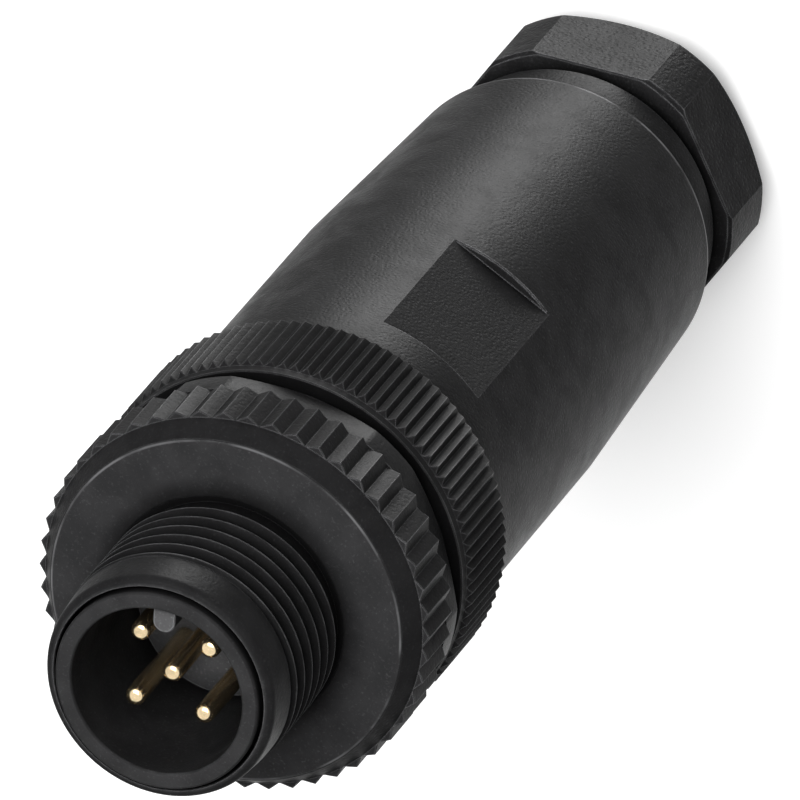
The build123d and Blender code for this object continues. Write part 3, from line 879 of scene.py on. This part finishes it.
@dataclass(frozen=True)
class PlatedFinish:
    """A plated metal with fine turning marks and uneven polish, in millimetres."""

    name: str
    tone: Tone
    roughness: float = 0.17
    roughness_spread: float = 0.06
    metallic: float = 0.98
    dark_gain: float = 0.80
    mark_size: float = 0.05
    mark_depth: float = 0.0006
    mark_squeeze: float = 0.10
    mottle_size: float = 0.7

    def build(self, effects: Effects) -> Material:
        """Writes the material's nodes.

        Args:
            effects: the shared node groups.

        Returns:
            The material.
        """
        material = bpy.data.materials.new(self.name)
        write = fresh_tree(material)
        grain = grain_of(write, effects, 4 * self.mark_size, self.mottle_size)
        stretched = write.node("ShaderNodeMapping", {
            "Vector": write.node("ShaderNodeTexCoord").outputs["Object"], "Scale": (1.0, 1.0, self.mark_squeeze)})
        marks = write.noise(stretched.outputs["Vector"], 1 / (self.mark_size * MM), Detail=2.0)
        write.surface({
            "Base Color": write.blend(grain["Mottle"], self.tone.rgba(self.dark_gain), self.tone.rgba()),
            "Metallic": self.metallic,
            "Roughness": write.math("MULTIPLY_ADD", grain["Mottle"], -self.roughness_spread,
                                    self.roughness + self.roughness_spread / 2),
            "Normal": write.bump(marks, self.mark_depth),
        })
        return material


class Finishes:
    """Every finish of the connector, built once."""

    def __init__(self) -> None:
        """Builds the shared groups and then the materials."""
        effects = Effects()
        self.sleeve = MouldedFinish(
            "sleeve_plastic", Tone.SLEEVE_BLACK, grain_size=0.12, grain_depth=0.019, edge_highlight_gain=7.0,
            edge_reach=0.13, highlight_line_height=9.72).build(effects)
        self.nut = MouldedFinish(
            "nut_plastic", Tone.SLEEVE_BLACK, grain_size=0.14, grain_depth=0.034, edge_highlight_gain=4.5,
            edge_reach=0.13).build(effects)
        # the grip's front face is painted darker as shade
        self.grip = MouldedFinish(
            "grip_plastic", Tone.SCREW_BLACK, grain_depth=0.012, edge_highlight_gain=4.0, pale_gain=2.6,
            face_light_gain=0.45, nook_reach=1.0).build(effects)
        self.screw = MouldedFinish(
            "screw_plastic", Tone.SCREW_BLACK, grain_depth=0.016, edge_highlight_gain=5.0, pale_gain=2.6,
            face_light_gain=2.0, highlight_line_height=53.07, highlight_line_radius=8.92, highlight_line_width=0.07).build(effects)
        self.carrier = MouldedFinish(
            "carrier_plastic", Tone.CARRIER_BLACK, grain_depth=0.008, edge_highlight_gain=9.0, pale_gain=2.6,
            pale_zone=(4.25, 53.30, 3.0)).build(effects)
        self.block = MouldedFinish("block_plastic", Tone.CARRIER_BLACK, grain_depth=0.008).build(effects)
        self.seal = MouldedFinish(
            "seal_rubber", Tone.SEAL_BLACK, roughness=0.68, specular=0.3, face_light_gain=1.0, grain_size=0.12,
            grain_depth=0.008, edge_highlight_gain=1.2).build(effects)
        self.slip = MouldedFinish(
            "slip_plastic", Tone.NATURAL_POLYAMIDE, pale_gain=1.12, roughness=0.34, grain_depth=0.003,
            edge_highlight_gain=1.0, specular=0.5, face_light_gain=1.0).build(effects)
        self.gold = PlatedFinish("contact_gold", Tone.GOLD).build(effects)
        self.guard = PlatedFinish("guard_tin", Tone.TINNED, roughness=0.34).build(effects)
        self.zinc = PlatedFinish("screw_zinc", Tone.ZINC, roughness=0.36).build(effects)


# Sub-assemblies


@dataclass
class CouplingScrew:
    """The threaded spigot, toothed flange and rear band, in millimetres."""

    rear: float = 46.85
    tooth_rear: float = 49.01
    tooth_front: float = 52.01
    flange: float = 53.10
    thread_low: float = 53.60
    thread_high: float = 59.60
    lead_end: float = 60.15
    front: float = 61.70
    band_half_width: float = 9.0
    band_radius: float = 9.75
    band_flat_angle: float = 51.0
    band_bevel: float = 0.72
    crest_radius: float = 10.0
    root_radius: float = 9.65
    flange_edge_radius: float = 8.98
    thread_radius: float = 6.0
    thread_root: float = 5.40
    relief_radius: float = 5.62
    lead_radius: float = 5.90
    nose_round: float = 0.45
    mouth_radius: float = 5.37
    bore_radius: float = 5.32
    lip_radius: float = 4.70
    lip_height: float = 3.0
    core_outer: float = 8.40
    core_inner: float = 6.60
    core_depth: float = 3.90
    crest_height: float = 59.16
    crest_degrees: float = 94.7
    teeth_count: int = 50
    tooth_points: int = 8
    tooth_degrees: float = 3.6
    columns: int = 400
    edge: float = 0.06

    def thread(self, rule: Tree, material: Material) -> Mesh:
        """Makes the coupling thread, which starts a plain lead behind the nose."""
        return shape_by_rule("coupling_thread", rule, {
            "Crest Radius": self.thread_radius, "Root Radius": self.thread_root, "Pitch": 1.0,
            "Low": self.thread_low, "High": self.thread_high,
            "Crest Height": self.crest_height + self.crest_degrees / 360,
            "Low Radius": self.relief_radius, "High Radius": self.lead_radius, "Low Fade": 0.45, "High Fade": 0.40,
        }, {
            "Crest Share": 0.10, "Root Share": 0.24, "Columns": self.columns, "Rows A Turn": 20, "Material": material,
        })

    def teeth(self, rule: Tree, material: Material) -> Mesh:
        """Makes the flange's ring of square-ended teeth."""
        return shape_by_rule("flange_teeth", rule, {
            "Crest Radius": self.crest_radius, "Root Radius": self.root_radius, "Rear": self.tooth_rear,
            "Front": self.tooth_front, "Edge": 0.05, "Rear Radius": self.root_radius,
            "Front Radius": self.root_radius,
        }, {
            "First Crest": math.radians(self.tooth_degrees), "Rear Slope": 0.0, "Front Slope": 0.0,
            "Ridges": self.teeth_count, "Points A Ridge": self.tooth_points, "Material": material,
        })

    def front_shell(self) -> Mesh:
        """Makes the flange's cone and face up to the thread."""
        edge = self.edge
        slope = (self.root_radius - self.flange_edge_radius) / (self.flange - self.tooth_front)
        return turned(
            "flange_front", self.columns,
            (self.root_radius, self.tooth_front),
            (self.flange_edge_radius + edge * slope, self.flange - edge),
            (self.flange_edge_radius - edge / 2, self.flange - edge / 4),
            (self.flange_edge_radius - 2 * edge, self.flange),
            (self.thread_radius + 0.10, self.flange),
            (self.thread_radius + 0.03, self.flange - 0.03),
            (self.thread_radius, self.flange - 0.08),
            (self.relief_radius, self.flange - 0.225),
            (self.relief_radius, self.thread_low),
        )

    def nose_shell(self) -> Mesh:
        """Makes the plain lead, the nose and the whole inside back to the rear face."""
        edge = self.edge
        return turned(
            "screw_inside", self.columns,
            (self.lead_radius, self.thread_high),
            (self.lead_radius, self.lead_end),
            *arc((self.mouth_radius, self.front - self.nose_round), self.nose_round, 0.0, 90.0, 6),
            (self.bore_radius, self.front - self.mouth_radius + self.bore_radius),
            (self.bore_radius, self.rear + self.lip_height),
            (self.lip_radius + edge, self.rear + self.lip_height),
            (self.lip_radius, self.rear + self.lip_height - edge),
            (self.lip_radius, self.rear + edge),
            (self.lip_radius + edge, self.rear),
            (self.core_inner - edge, self.rear),
            (self.core_inner, self.rear + edge),
            (self.core_inner, self.rear + self.core_depth),
            (self.core_outer, self.rear + self.core_depth),
            (self.core_outer, self.rear + edge),
            (self.core_outer + edge, self.rear),
            (self.band_radius - self.band_bevel - edge, self.rear),
        )

    def band_shell(self) -> Mesh:
        """Makes the rear band, a hexagon with round corners and a bevelled rear edge."""
        half_width, corner = self.band_half_width, self.band_radius
        rule = hexagon(half_width, corner, self.band_flat_angle)
        shell = Shell(with_angles(self.columns, hexagon_edges(half_width, corner, self.band_flat_angle)))
        foot = self.band_radius - self.band_bevel
        edge = self.edge
        shell.seam(foot - edge, self.rear)
        shell.shaped(lambda turn: foot + edge / 2, lambda turn: self.rear + edge / 2)
        shell.shaped(lambda turn: rule(turn) - edge / 2, lambda turn: self.rear + rule(turn) - foot - edge / 2)
        shell.shaped(rule, lambda turn: self.rear + rule(turn) - foot + edge)
        shell.shaped(rule, lambda turn: self.tooth_rear)
        shell.seam(self.root_radius, self.tooth_rear)
        return shell.mesh("screw_band")

    def build(self, threads: Tree, ridges: Tree, finish: Material) -> None:
        """Makes the screw and sets it on its body.

        Args:
            threads: the thread's rule.
            ridges: the teeth's rule.
            finish: its material.
        """
        parts = [self.thread(threads, finish), self.teeth(ridges, finish), self.front_shell(),
                 self.nose_shell(), self.band_shell()]
        Piece("coupling_screw_moulding", "coupling_screw", ("coupling_screw",), "black_plastic").place(parts, finish)


@dataclass
class GripRing:
    """The finely ridged ring and the threaded stub behind it, in millimetres."""

    rear: float = 41.10
    front: float = 46.45
    boss_top: float = 46.70
    crest_radius: float = 9.85
    root_radius: float = 9.58
    front_radius: float = 9.50
    front_band: float = 0.42
    rear_bevel: float = 0.30
    groove_radius: float = 6.90
    groove_height: float = 1.30
    stub_end: float = 35.0
    stub_radius: float = 7.50
    stub_root: float = 6.95
    stub_bore: float = 6.20
    neck_seat: float = 42.20
    neck_bore: float = 4.63
    boss_radius: float = 6.50
    ridges: int = 100
    points: int = 4
    stub_chamfer: float = 0.35
    stub_runout: float = 0.15
    stub_relief: float = 0.1
    edge: float = 0.05

    def build(self, threads: Tree, ridges: Tree, finish: Material) -> None:
        """Makes the ring and sets it on the carrier's body.

        Args:
            threads: the stub thread's rule.
            ridges: the ridges' rule.
            finish: its material.
        """
        columns = self.ridges * self.points
        grip = shape_by_rule("grip_ridges", ridges, {
            "Crest Radius": self.crest_radius, "Root Radius": self.root_radius, "Rear": self.rear,
            "Front": self.front - self.front_band, "Edge": 0.03, "Rear Radius": self.crest_radius - self.rear_bevel,
            "Front Radius": self.root_radius,
        }, {
            "First Crest": 0.0, "Rear Slope": 1.0, "Front Slope": 1.0, "Ridges": self.ridges,
            "Points A Ridge": self.points, "Material": finish,
        })
        edge = self.edge
        stub_low, stub_high = self.stub_end + self.stub_chamfer, self.rear - self.groove_height - self.stub_runout
        stub_high = stub_low + whole_rows(stub_high - stub_low)
        neck_radius = self.stub_radius - self.stub_relief
        groove_end = self.rear - self.groove_height
        thread = outside_thread("stub_thread", threads, finish, {
            "Crest Radius": self.stub_radius, "Root Radius": self.stub_root, "Low": stub_low, "High": stub_high,
            "Low Radius": self.stub_radius, "High Radius": neck_radius,
        }, columns)
        front = turned(
            "grip_front", columns,
            (self.root_radius, self.front - self.front_band),
            (self.front_radius + 0.02, self.front - edge),
            (self.front_radius - edge, self.front),
            (self.boss_radius, self.front),
        )
        rear = turned(
            "grip_rear", columns,
            (self.groove_radius, self.rear),
            (self.crest_radius - self.rear_bevel, self.rear),
        )
        core = turned(
            "grip_core", columns,
            (self.boss_radius, self.front),
            (self.boss_radius, self.boss_top - edge),
            (self.boss_radius - edge, self.boss_top),
            (self.neck_bore, self.boss_top),
            (self.neck_bore, self.neck_seat),
            (self.stub_bore, self.neck_seat),
            (self.stub_bore, self.stub_end),
            (self.stub_radius - self.stub_chamfer, self.stub_end),
            (self.stub_radius, stub_low),
        )
        neck = turned(
            "grip_neck", columns,
            (neck_radius, stub_high),
            (neck_radius, groove_end),
            (self.groove_radius, groove_end),
            (self.groove_radius, self.rear),
        )
        Piece("grip_ring_moulding", "carrier", ("grip_ring",), "black_plastic").place(
            [grip, thread, front, rear, core, neck], finish)


@dataclass
class Sleeve:
    """The tapered housing with its two wrench flats, in millimetres."""

    neck_end: float = 6.77
    shoulder: float = 9.15
    top: float = 41.0
    radius: float = 8.90
    taper_start: float = 24.0
    tail_radius: float = 8.25
    tail_round: float = 0.75
    shoulder_radius: float = 7.86
    neck_radius: float = 7.50
    neck_edge: float = 0.25
    front_chamfer: float = 0.25
    flat_half_width: float = 8.41
    flat_bottom: float = 28.45
    flat_top: float = 37.85
    gland_bore: float = 6.45
    gland_bore_top: float = 13.17
    seal_bore: float = 6.0
    seal_bore_top: float = 23.07
    passage: float = 4.30
    passage_top: float = 24.67
    wiring: float = 7.0
    stub_bore: float = 7.55
    stub_bore_start: float = 34.90
    recess: float = 8.0
    recess_start: float = 39.80
    columns: int = 360
    edge: float = 0.07

    def flat(self, turn: float) -> float:
        """Radius of the cylinder at an angle, cut by the two flats."""
        across = abs(math.sin(turn))
        return min(self.radius, self.flat_half_width / across) if across > 0.5 else self.radius

    def build(self, finish: Material) -> None:
        """Makes the sleeve and sets it on its body.

        Args:
            finish: its material.
        """
        half = math.degrees(math.acos(self.flat_half_width / self.radius))
        corners = [side + end for side in (90.0, 270.0) for end in (-half, half)]
        shell = Shell(with_angles(self.columns, corners))
        edge = self.edge
        shell.profile(
            (self.gland_bore, self.neck_end),
            (self.neck_radius - self.neck_edge, self.neck_end),
            (self.neck_radius - edge * 0.3, self.neck_end + self.neck_edge - edge * 0.3),
            (self.neck_radius, self.neck_end + self.neck_edge + edge * 0.6),
            (self.neck_radius, self.shoulder - edge),
            (self.neck_radius + edge, self.shoulder),
            (self.shoulder_radius - 0.4 * edge, self.shoulder),
            (self.shoulder_radius + 0.3 * edge, self.shoulder + 0.4 * edge),
        )
        tail_top = self.shoulder + self.tail_round
        steps = 6
        for step in range(1, steps + 1):
            share = step / steps
            rise = math.sin(share * math.pi / 2)
            shell.ring(self.shoulder_radius + (self.tail_radius - self.shoulder_radius) * rise,
                       self.shoulder + self.tail_round * (share * 0.8 + 0.2 * share * share))
        shell.profile((self.tail_radius + 0.05 * (self.radius - self.tail_radius), tail_top + 0.7))
        shell.ring(self.radius, self.taper_start)
        shell.ring(self.radius, self.flat_bottom - edge)
        broken = self.radius - edge
        for radius, height in (
            (lambda turn: min(self.radius, max(self.flat(turn), broken)), self.flat_bottom),
            (self.flat, self.flat_bottom),
            (self.flat, self.flat_top),
            (lambda turn: min(self.radius, max(self.flat(turn), broken)), self.flat_top),
        ):
            shell.shaped(radius, lambda turn: height)
        shell.ring(self.radius, self.flat_top + edge)
        shell.profile(
            (self.radius, self.top - self.front_chamfer),
            (self.radius - self.front_chamfer, self.top),
            (self.recess, self.top),
            (self.recess, self.recess_start),
            (self.stub_bore, self.recess_start),
            (self.stub_bore, self.stub_bore_start),
            (self.wiring, self.stub_bore_start),
            (self.wiring, self.passage_top + self.wiring - self.passage),
            (self.passage, self.passage_top),
            (self.passage, self.seal_bore_top),
            (self.seal_bore, self.seal_bore_top),
            (self.seal_bore, self.gland_bore_top),
            (self.gland_bore, self.gland_bore_top),
        )
        Piece("sleeve_moulding", "sleeve", ("sleeve",), "black_plastic", 14.0).place(
            [shell.mesh("sleeve_shell", closed=True)], finish)


@dataclass
class GlandNut:
    """The hexagonal nut at the cable end with its threaded stub, in millimetres."""

    height: float = 6.25
    half_width: float = 7.55
    corner_radius: float = 8.15
    flat_angle: float = -62.0
    rear_chamfer: float = 1.20
    front_chamfer: float = 0.20
    stub_radius: float = 6.40
    stub_root: float = 5.86
    stub_top: float = 11.85
    bore: float = 4.10
    mouth: float = 0.60
    seat: float = 5.40
    seat_floor: float = 9.95
    neck_depth: float = 0.25
    neck_height: float = 0.60
    neck_rise: float = 0.15
    stub_chamfer: float = 0.30
    columns: int = 360
    edge: float = 0.08

    def build(self, threads: Tree, finish: Material) -> None:
        """Makes the nut and sets it on its body.

        Args:
            threads: the stub thread's rule.
            finish: its material.
        """
        rule = hexagon(self.half_width, self.corner_radius, self.flat_angle)
        edges = hexagon_edges(self.half_width, self.corner_radius, self.flat_angle)
        outside = Shell(with_angles(self.columns, edges))
        foot = self.half_width - self.rear_chamfer
        edge = self.edge
        high = self.stub_top - self.stub_chamfer
        low = high - whole_rows(high - (self.height + self.neck_height))
        neck = self.stub_radius - self.neck_depth
        outside.seam(foot - edge, 0.0)
        outside.ring(foot + edge / 2, edge / 2)
        outside.shaped(lambda turn: rule(turn) - edge / 2, lambda turn: rule(turn) - foot - edge / 2)
        outside.shaped(rule, lambda turn: rule(turn) - foot + edge)
        top = self.height
        outside.shaped(rule, lambda turn: top - max(edge, rule(turn) - self.corner_radius + self.front_chamfer))
        outside.shaped(lambda turn: min(rule(turn) - edge, self.corner_radius - self.front_chamfer),
                       lambda turn: top)
        outside.seam(neck, top)
        inside = turned(
            "nut_undercut", self.columns,
            (neck, top),
            (neck, low - self.neck_rise),
            (self.stub_radius, low),
        )
        inside_top = turned(
            "nut_inside", self.columns,
            (self.stub_radius, high),
            (self.stub_radius - self.stub_chamfer, self.stub_top),
            (self.seat, self.stub_top),
            (self.seat, self.seat_floor),
            (self.bore, self.seat_floor),
            (self.bore, self.mouth),
            (self.bore + self.mouth, 0.0),
            (foot - edge, 0.0),
        )
        thread = outside_thread("gland_thread", threads, finish, {
            "Crest Radius": self.stub_radius, "Root Radius": self.stub_root, "Low": low, "High": high,
            "Low Radius": self.stub_radius, "High Radius": self.stub_radius,
        }, self.columns)
        Piece("gland_nut_moulding", "gland_nut", ("gland_nut",), "black_plastic", 14.0).place(
            [outside.mesh("nut_outside"), inside, inside_top, thread], finish)


@dataclass
class ContactCarrier:
    """The collar round the contacts with its coding key, in millimetres."""

    neck_seat: float = 42.20
    neck_radius: float = 4.60
    shoulder: float = 50.0
    radius: float = 5.17
    bore: float = 4.33
    floor: float = 53.40
    rim: float = 62.0
    edge_chamfer: float = 0.15
    mouth_chamfer: float = 0.12
    key_angle: float = -61.5
    key_width: float = 1.12
    key_reach: float = 3.05
    key_setback: float = 0.30
    key_edge: float = 0.06
    key_sink: float = 0.25
    columns: int = 256

    def key(self) -> Mesh:
        """Makes the coding key, a rib with a round inner end that stops short of the rim."""
        made = bmesh.new()
        outer, half = self.bore + self.key_sink, self.key_width / 2
        outline = [(outer, -half), (outer, half)]
        steps = 14
        for step in range(steps + 1):
            turn = math.pi / 2 + math.pi * step / steps
            outline.append((self.key_reach + half + half * math.cos(turn), half * math.sin(turn)))
        edge = self.key_edge
        top = self.rim - self.key_setback
        levels = [(0.0, self.floor - 0.2), (0.0, top - edge), (edge, top)]
        middle = Vector((self.key_reach + half + 0.3, 0.0))
        turn = Matrix.Rotation(math.radians(self.key_angle), 3, "Z")
        rows = []
        for inset, height in levels:
            row = []
            for x, y in outline:
                point = Vector((x, y))
                if inset:
                    point += (middle - point).normalized() * inset
                row.append(made.verts.new(turn @ Vector((point.x, point.y, height)) * MM))
            rows.append(row)
        join_rows(made, rows)
        made.faces.new(rows[-1])
        made.faces.new(list(reversed(rows[0])))
        bmesh.ops.recalc_face_normals(made, faces=made.faces)
        return kept_mesh("coding_key", made)

    def build(self, finish: Material) -> None:
        """Makes the carrier and sets it on its body.

        Args:
            finish: its material.
        """
        shell = Shell(even_angles(self.columns))
        shell.profile((0.0, self.neck_seat), (self.neck_radius - 0.1, self.neck_seat),
                      (self.neck_radius, self.neck_seat + 0.1), (self.neck_radius, self.shoulder),
                      (self.radius, self.shoulder))
        corner = self.edge_chamfer
        shell.profile(*arc((self.radius - corner, self.rim - corner), corner, 0.0, 90.0, 6))
        mouth = self.mouth_chamfer
        shell.profile(*arc((self.bore + mouth, self.rim - mouth), mouth, 90.0, 180.0, 4))
        shell.profile((self.bore, self.floor + 0.12), (self.bore - 0.035, self.floor + 0.035),
                      (self.bore - 0.12, self.floor), (3.4, self.floor), (0.0, self.floor))
        Piece("contact_carrier_moulding", "carrier", ("contact_carrier",), "carrier_plastic", 30.0).place(
            [shell.mesh("carrier_shell"), self.key()], finish)


@dataclass
class Contacts:
    """The gold pins with the barrels behind them, in millimetres."""

    radius: float = 0.50
    shank_radius: float = 0.75
    tip_round: float = 0.34
    tip: float = 60.11
    floor: float = 53.40
    barrel_top: float = 40.47
    circle: float = 2.50
    barrel_circle: float = 3.40
    barrel_radius: float = 1.50
    centre_barrel_radius: float = 1.30
    barrel_bottom: float = 30.47
    centre_barrel_bottom: float = 26.57
    wire_hole: float = 0.80
    wire_hole_depth: float = 6.0
    screw_hole: float = 0.83
    screw_setback: float = 2.40
    first_angle: float = -16.5
    centre_angle: float = -61.5
    columns: int = 48
    tip_rows: int = 8
    foot_overlap: float = 0.4
    shank_setback: float = 0.03
    shank_edge: float = 0.02
    barrel_edge: float = 0.08
    mouth_edge: float = 0.05
    drill_sides: int = 40

    def pin(self, number: int, rule: Tree, finish: Material, place: Vector) -> Mesh:
        """Makes one turned pin with its shank.

        Args:
            number: the contact's number.
            rule: the pin's rule.
            finish: its material.
            place: its place off the axis, in metres.

        Returns:
            The pin's mesh in its place.
        """
        mesh = shape_by_rule(f"pin_{number}", rule, {
            "Radius": self.radius, "Tip Round": self.tip_round, "Foot": self.barrel_top - self.foot_overlap,
            "Tip": self.tip, "Foot Radius": self.shank_radius, "Step": self.floor - self.shank_setback,
            "Step Edge": self.shank_edge,
        }, {"Columns": self.columns, "Tip Rows": self.tip_rows, "Material": finish})
        mesh.transform(Matrix.Translation(place))
        return mesh

    def barrel(self, number: int, place: Vector, radius: float, bottom: float, outward: Vector) -> Mesh:
        """Makes one barrel with its wire hole and screw hole.

        Args:
            number: the contact's number.
            place: the barrel's place off the axis, in metres.
            radius: its radius.
            bottom: its lower end.
            outward: direction of its screw hole.

        Returns:
            The barrel's mesh in its place.
        """
        edge, mouth = self.barrel_edge, self.mouth_edge
        mesh = turned(
            f"barrel_{number}", self.columns,
            (0.0, bottom + self.wire_hole_depth),
            (self.wire_hole, bottom + self.wire_hole_depth),
            (self.wire_hole, bottom + mouth),
            (self.wire_hole + mouth, bottom),
            (radius - edge, bottom),
            (radius, bottom + edge),
            (radius, self.barrel_top - edge),
            (radius - edge, self.barrel_top),
            (0.0, self.barrel_top),
        )
        drill = bmesh.new()
        bmesh.ops.create_cone(drill, cap_ends=True, segments=self.drill_sides, radius1=self.screw_hole * MM,
                              radius2=self.screw_hole * MM, depth=2 * radius * MM)
        turn = outward.to_track_quat("Z", "Y").to_matrix().to_4x4()
        middle = outward * radius * MM + Vector((0, 0, (bottom + self.screw_setback) * MM))
        drill.transform(Matrix.Translation(middle) @ turn)
        drilled = self.combine(mesh, kept_mesh("drill", drill), "DIFFERENCE")
        drilled.transform(Matrix.Translation(place))
        return drilled

    @staticmethod
    def combine(first: Mesh, second: Mesh, operation: str) -> Mesh:
        """Runs one boolean between two closed meshes.

        Args:
            first: the mesh that is kept or cut.
            second: the mesh that is added or taken away.
            operation: UNION or DIFFERENCE.

        Returns:
            A new mesh.
        """
        bodies = []
        for mesh in (first, second):
            outward = bmesh.new()
            outward.from_mesh(mesh)
            bmesh.ops.recalc_face_normals(outward, faces=outward.faces)
            outward.to_mesh(mesh)
            outward.free()
            bodies.append(placed(mesh.name, mesh))
        modifier = bodies[0].modifiers.new("combine", "BOOLEAN")
        modifier.operation = operation
        modifier.solver = "EXACT"
        modifier.object = bodies[1]
        result = evaluated_mesh(bodies[0])
        for body in bodies:
            mesh = body.data
            bpy.data.objects.remove(body)
            bpy.data.meshes.remove(mesh)
        return result

    def build(self, rule: Tree, finish: Material) -> None:
        """Makes the five contacts and sets them on the carrier's body.

        Args:
            rule: the pin's rule.
            finish: their material.
        """
        for number in range(1, 6):
            outer = number < 5
            angle = self.first_angle + 90.0 * (number - 1) if outer else self.centre_angle
            way = direction(angle)
            pin_place = way * (self.circle * MM if outer else 0.0)
            barrel_place = way * (self.barrel_circle * MM if outer else 0.0)
            radius = self.barrel_radius if outer else self.centre_barrel_radius
            bottom = self.barrel_bottom if outer else self.centre_barrel_bottom
            pin = self.pin(number, rule, finish, pin_place)
            barrel = self.barrel(number, barrel_place, radius, bottom, way)
            whole = self.combine(barrel, pin, "UNION")
            Piece(f"contact_{number}", "carrier", (f"contact_pin_{number}",), "gold_contact", 35.0).place(
                [whole], finish)


@dataclass
class InnerParts:
    """The hidden nodes, which keep their CAD shapes."""

    def build(self, finishes: Finishes) -> None:
        """Dresses each of them.

        Args:
            finishes: every finish of the connector.
        """
        finish_of = {
            "pressure_ring": finishes.slip,
            "clamping_cage": finishes.slip,
            "cable_seal": finishes.seal,
            "joint_seal": finishes.seal,
            "terminal_block": finishes.block,
            "terminal_screws": finishes.zinc,
        }
        for number in range(1, 6):
            finish_of[f"wire_guard_{number}"] = finishes.guard
        for node, material in finish_of.items():
            dress(frame["nodes"][node].data, material)
            log.info("%s: keeps its CAD shape", node)


# Studio


@dataclass
class Lamp:
    """A soft rectangular lamp aimed at the connector."""

    name: str
    azimuth: float
    elevation: float
    distance: float
    width: float
    height: float
    watts: float

    def build(self, target: Vector) -> bpy.types.Object:
        """Makes the lamp and turns it to the target.

        Args:
            target: the point it shines at, in metres.

        Returns:
            The lamp.
        """
        way = direction(self.azimuth, self.elevation)
        data = bpy.data.lights.new(self.name, "AREA")
        data.shape = "RECTANGLE"
        data.size, data.size_y, data.energy = self.width, self.height, self.watts
        lamp = placed(self.name, data)
        lamp.location = target + way * self.distance
        lamp.rotation_euler = (-way).to_track_quat("-Z", "Y").to_euler()
        return lamp


@dataclass
class Studio:
    """Floor, world, lamps and camera."""

    position: tuple[float, float, float] = (-0.0272990, -0.6530816, 1.0063597)
    target: tuple[float, float, float] = (0.00021912, -0.00000923, 0.0296967)
    roll: float = 139.36362
    lens: float = 1093.138
    floor_size: float = 4.0
    world_fill: float = 0.55
    floor_lit: float = 0.62
    floor_seen: float = 0.98
    floor_glow: float = 0.18
    lamp_distance: float = 0.60
    low_rise: float = -56.2

    def camera(self) -> None:
        """Sets the camera at the photograph's viewing angle."""
        data = bpy.data.cameras.new("camera")
        data.sensor_width = 36.0
        data.lens = self.lens
        data.clip_start, data.clip_end = 0.05, 20.0
        body = placed("camera", data)
        position, target = Vector(self.position), Vector(self.target)
        look = (target - position).to_track_quat("-Z", "Y").to_matrix()
        rolled = look @ Matrix.Rotation(math.radians(-self.roll), 3, "Z")
        body.matrix_world = Matrix.Translation(position) @ rolled.to_4x4()
        bpy.context.scene.camera = body

    def floor(self) -> None:
        """Makes the pale floor under the nut."""
        made = bmesh.new()
        bmesh.ops.create_grid(made, x_segments=1, y_segments=1, size=self.floor_size / 2)
        mesh = kept_mesh("floor", made)
        material = bpy.data.materials.new("floor_paper")
        write = fresh_tree(material)
        seen = write.seen_directly()
        lit, bright = ((level, level, level, 1.0) for level in (self.floor_lit, self.floor_seen))
        write.surface({
            "Base Color": write.blend(seen, lit, bright),
            "Emission Color": WHITE,
            "Emission Strength": write.math("MULTIPLY", seen, self.floor_glow),
            "Roughness": 0.9,
            "Specular IOR Level": 0.1,
        })
        mesh.materials.append(material)
        body = placed("floor", mesh)

    def world(self) -> None:
        """Makes the white surround, dimmer for the light it sheds than for what looks at it."""
        world = bpy.data.worlds.new("surround")
        bpy.context.scene.world = world
        write = fresh_tree(world)
        strength = write.mix(write.seen_directly(), self.world_fill, 1.0)
        light = write.node("ShaderNodeBackground", {"Color": WHITE, "Strength": strength})
        write.node("ShaderNodeOutputWorld", {"Surface": light.outputs["Background"]})

    def lamps(self) -> None:
        """Makes the soft key, and the low lamps, which reach the connector past the floor."""
        middle = Vector((0.0, 0.0, 0.03))
        far, rise = self.lamp_distance, self.low_rise
        Lamp("key", -60.0, 64.0, far, 0.45, 0.45, 4.2).build(middle)
        lows = [
            Lamp("sheen", -43.0, rise, far, 0.20, 0.40, 12.0).build(middle),
            Lamp("side_sheen", 144.0, rise, far, 0.36, 0.36, 3.6).build(middle),
        ]
        reached = bpy.data.collections.new("connector_parts")
        for body in bpy.context.scene.objects:
            if body.type == "MESH" and body.name != "floor":
                reached.objects.link(body)
        for lamp in lows:
            lamp.visible_diffuse = False
            lamp.light_linking.receiver_collection = reached
            lamp.light_linking.blocker_collection = reached

    def build(self) -> None:
        """Makes the whole studio."""
        self.camera()
        self.floor()
        self.world()
        self.lamps()
        bpy.context.scene.view_settings.view_transform = "Standard"
        log.info("studio: camera, floor, surround and lamps")


def main() -> None:
    """Builds the studio and the connector, piece by piece."""
    logging.basicConfig(level=logging.INFO, format="%(name)s: %(message)s")
    finishes = Finishes()
    threads, ridges, pins = thread_tree(), ridge_tree(), pin_tree()
    CouplingScrew().build(threads, ridges, finishes.screw)
    GripRing().build(threads, ridges, finishes.grip)
    Sleeve().build(finishes.sleeve)
    GlandNut().build(threads, finishes.nut)
    ContactCarrier().build(finishes.carrier)
    Contacts().build(pins, finishes.gold)
    InnerParts().build(finishes)
    Studio().build()


if __name__ == "__main__":
    main()
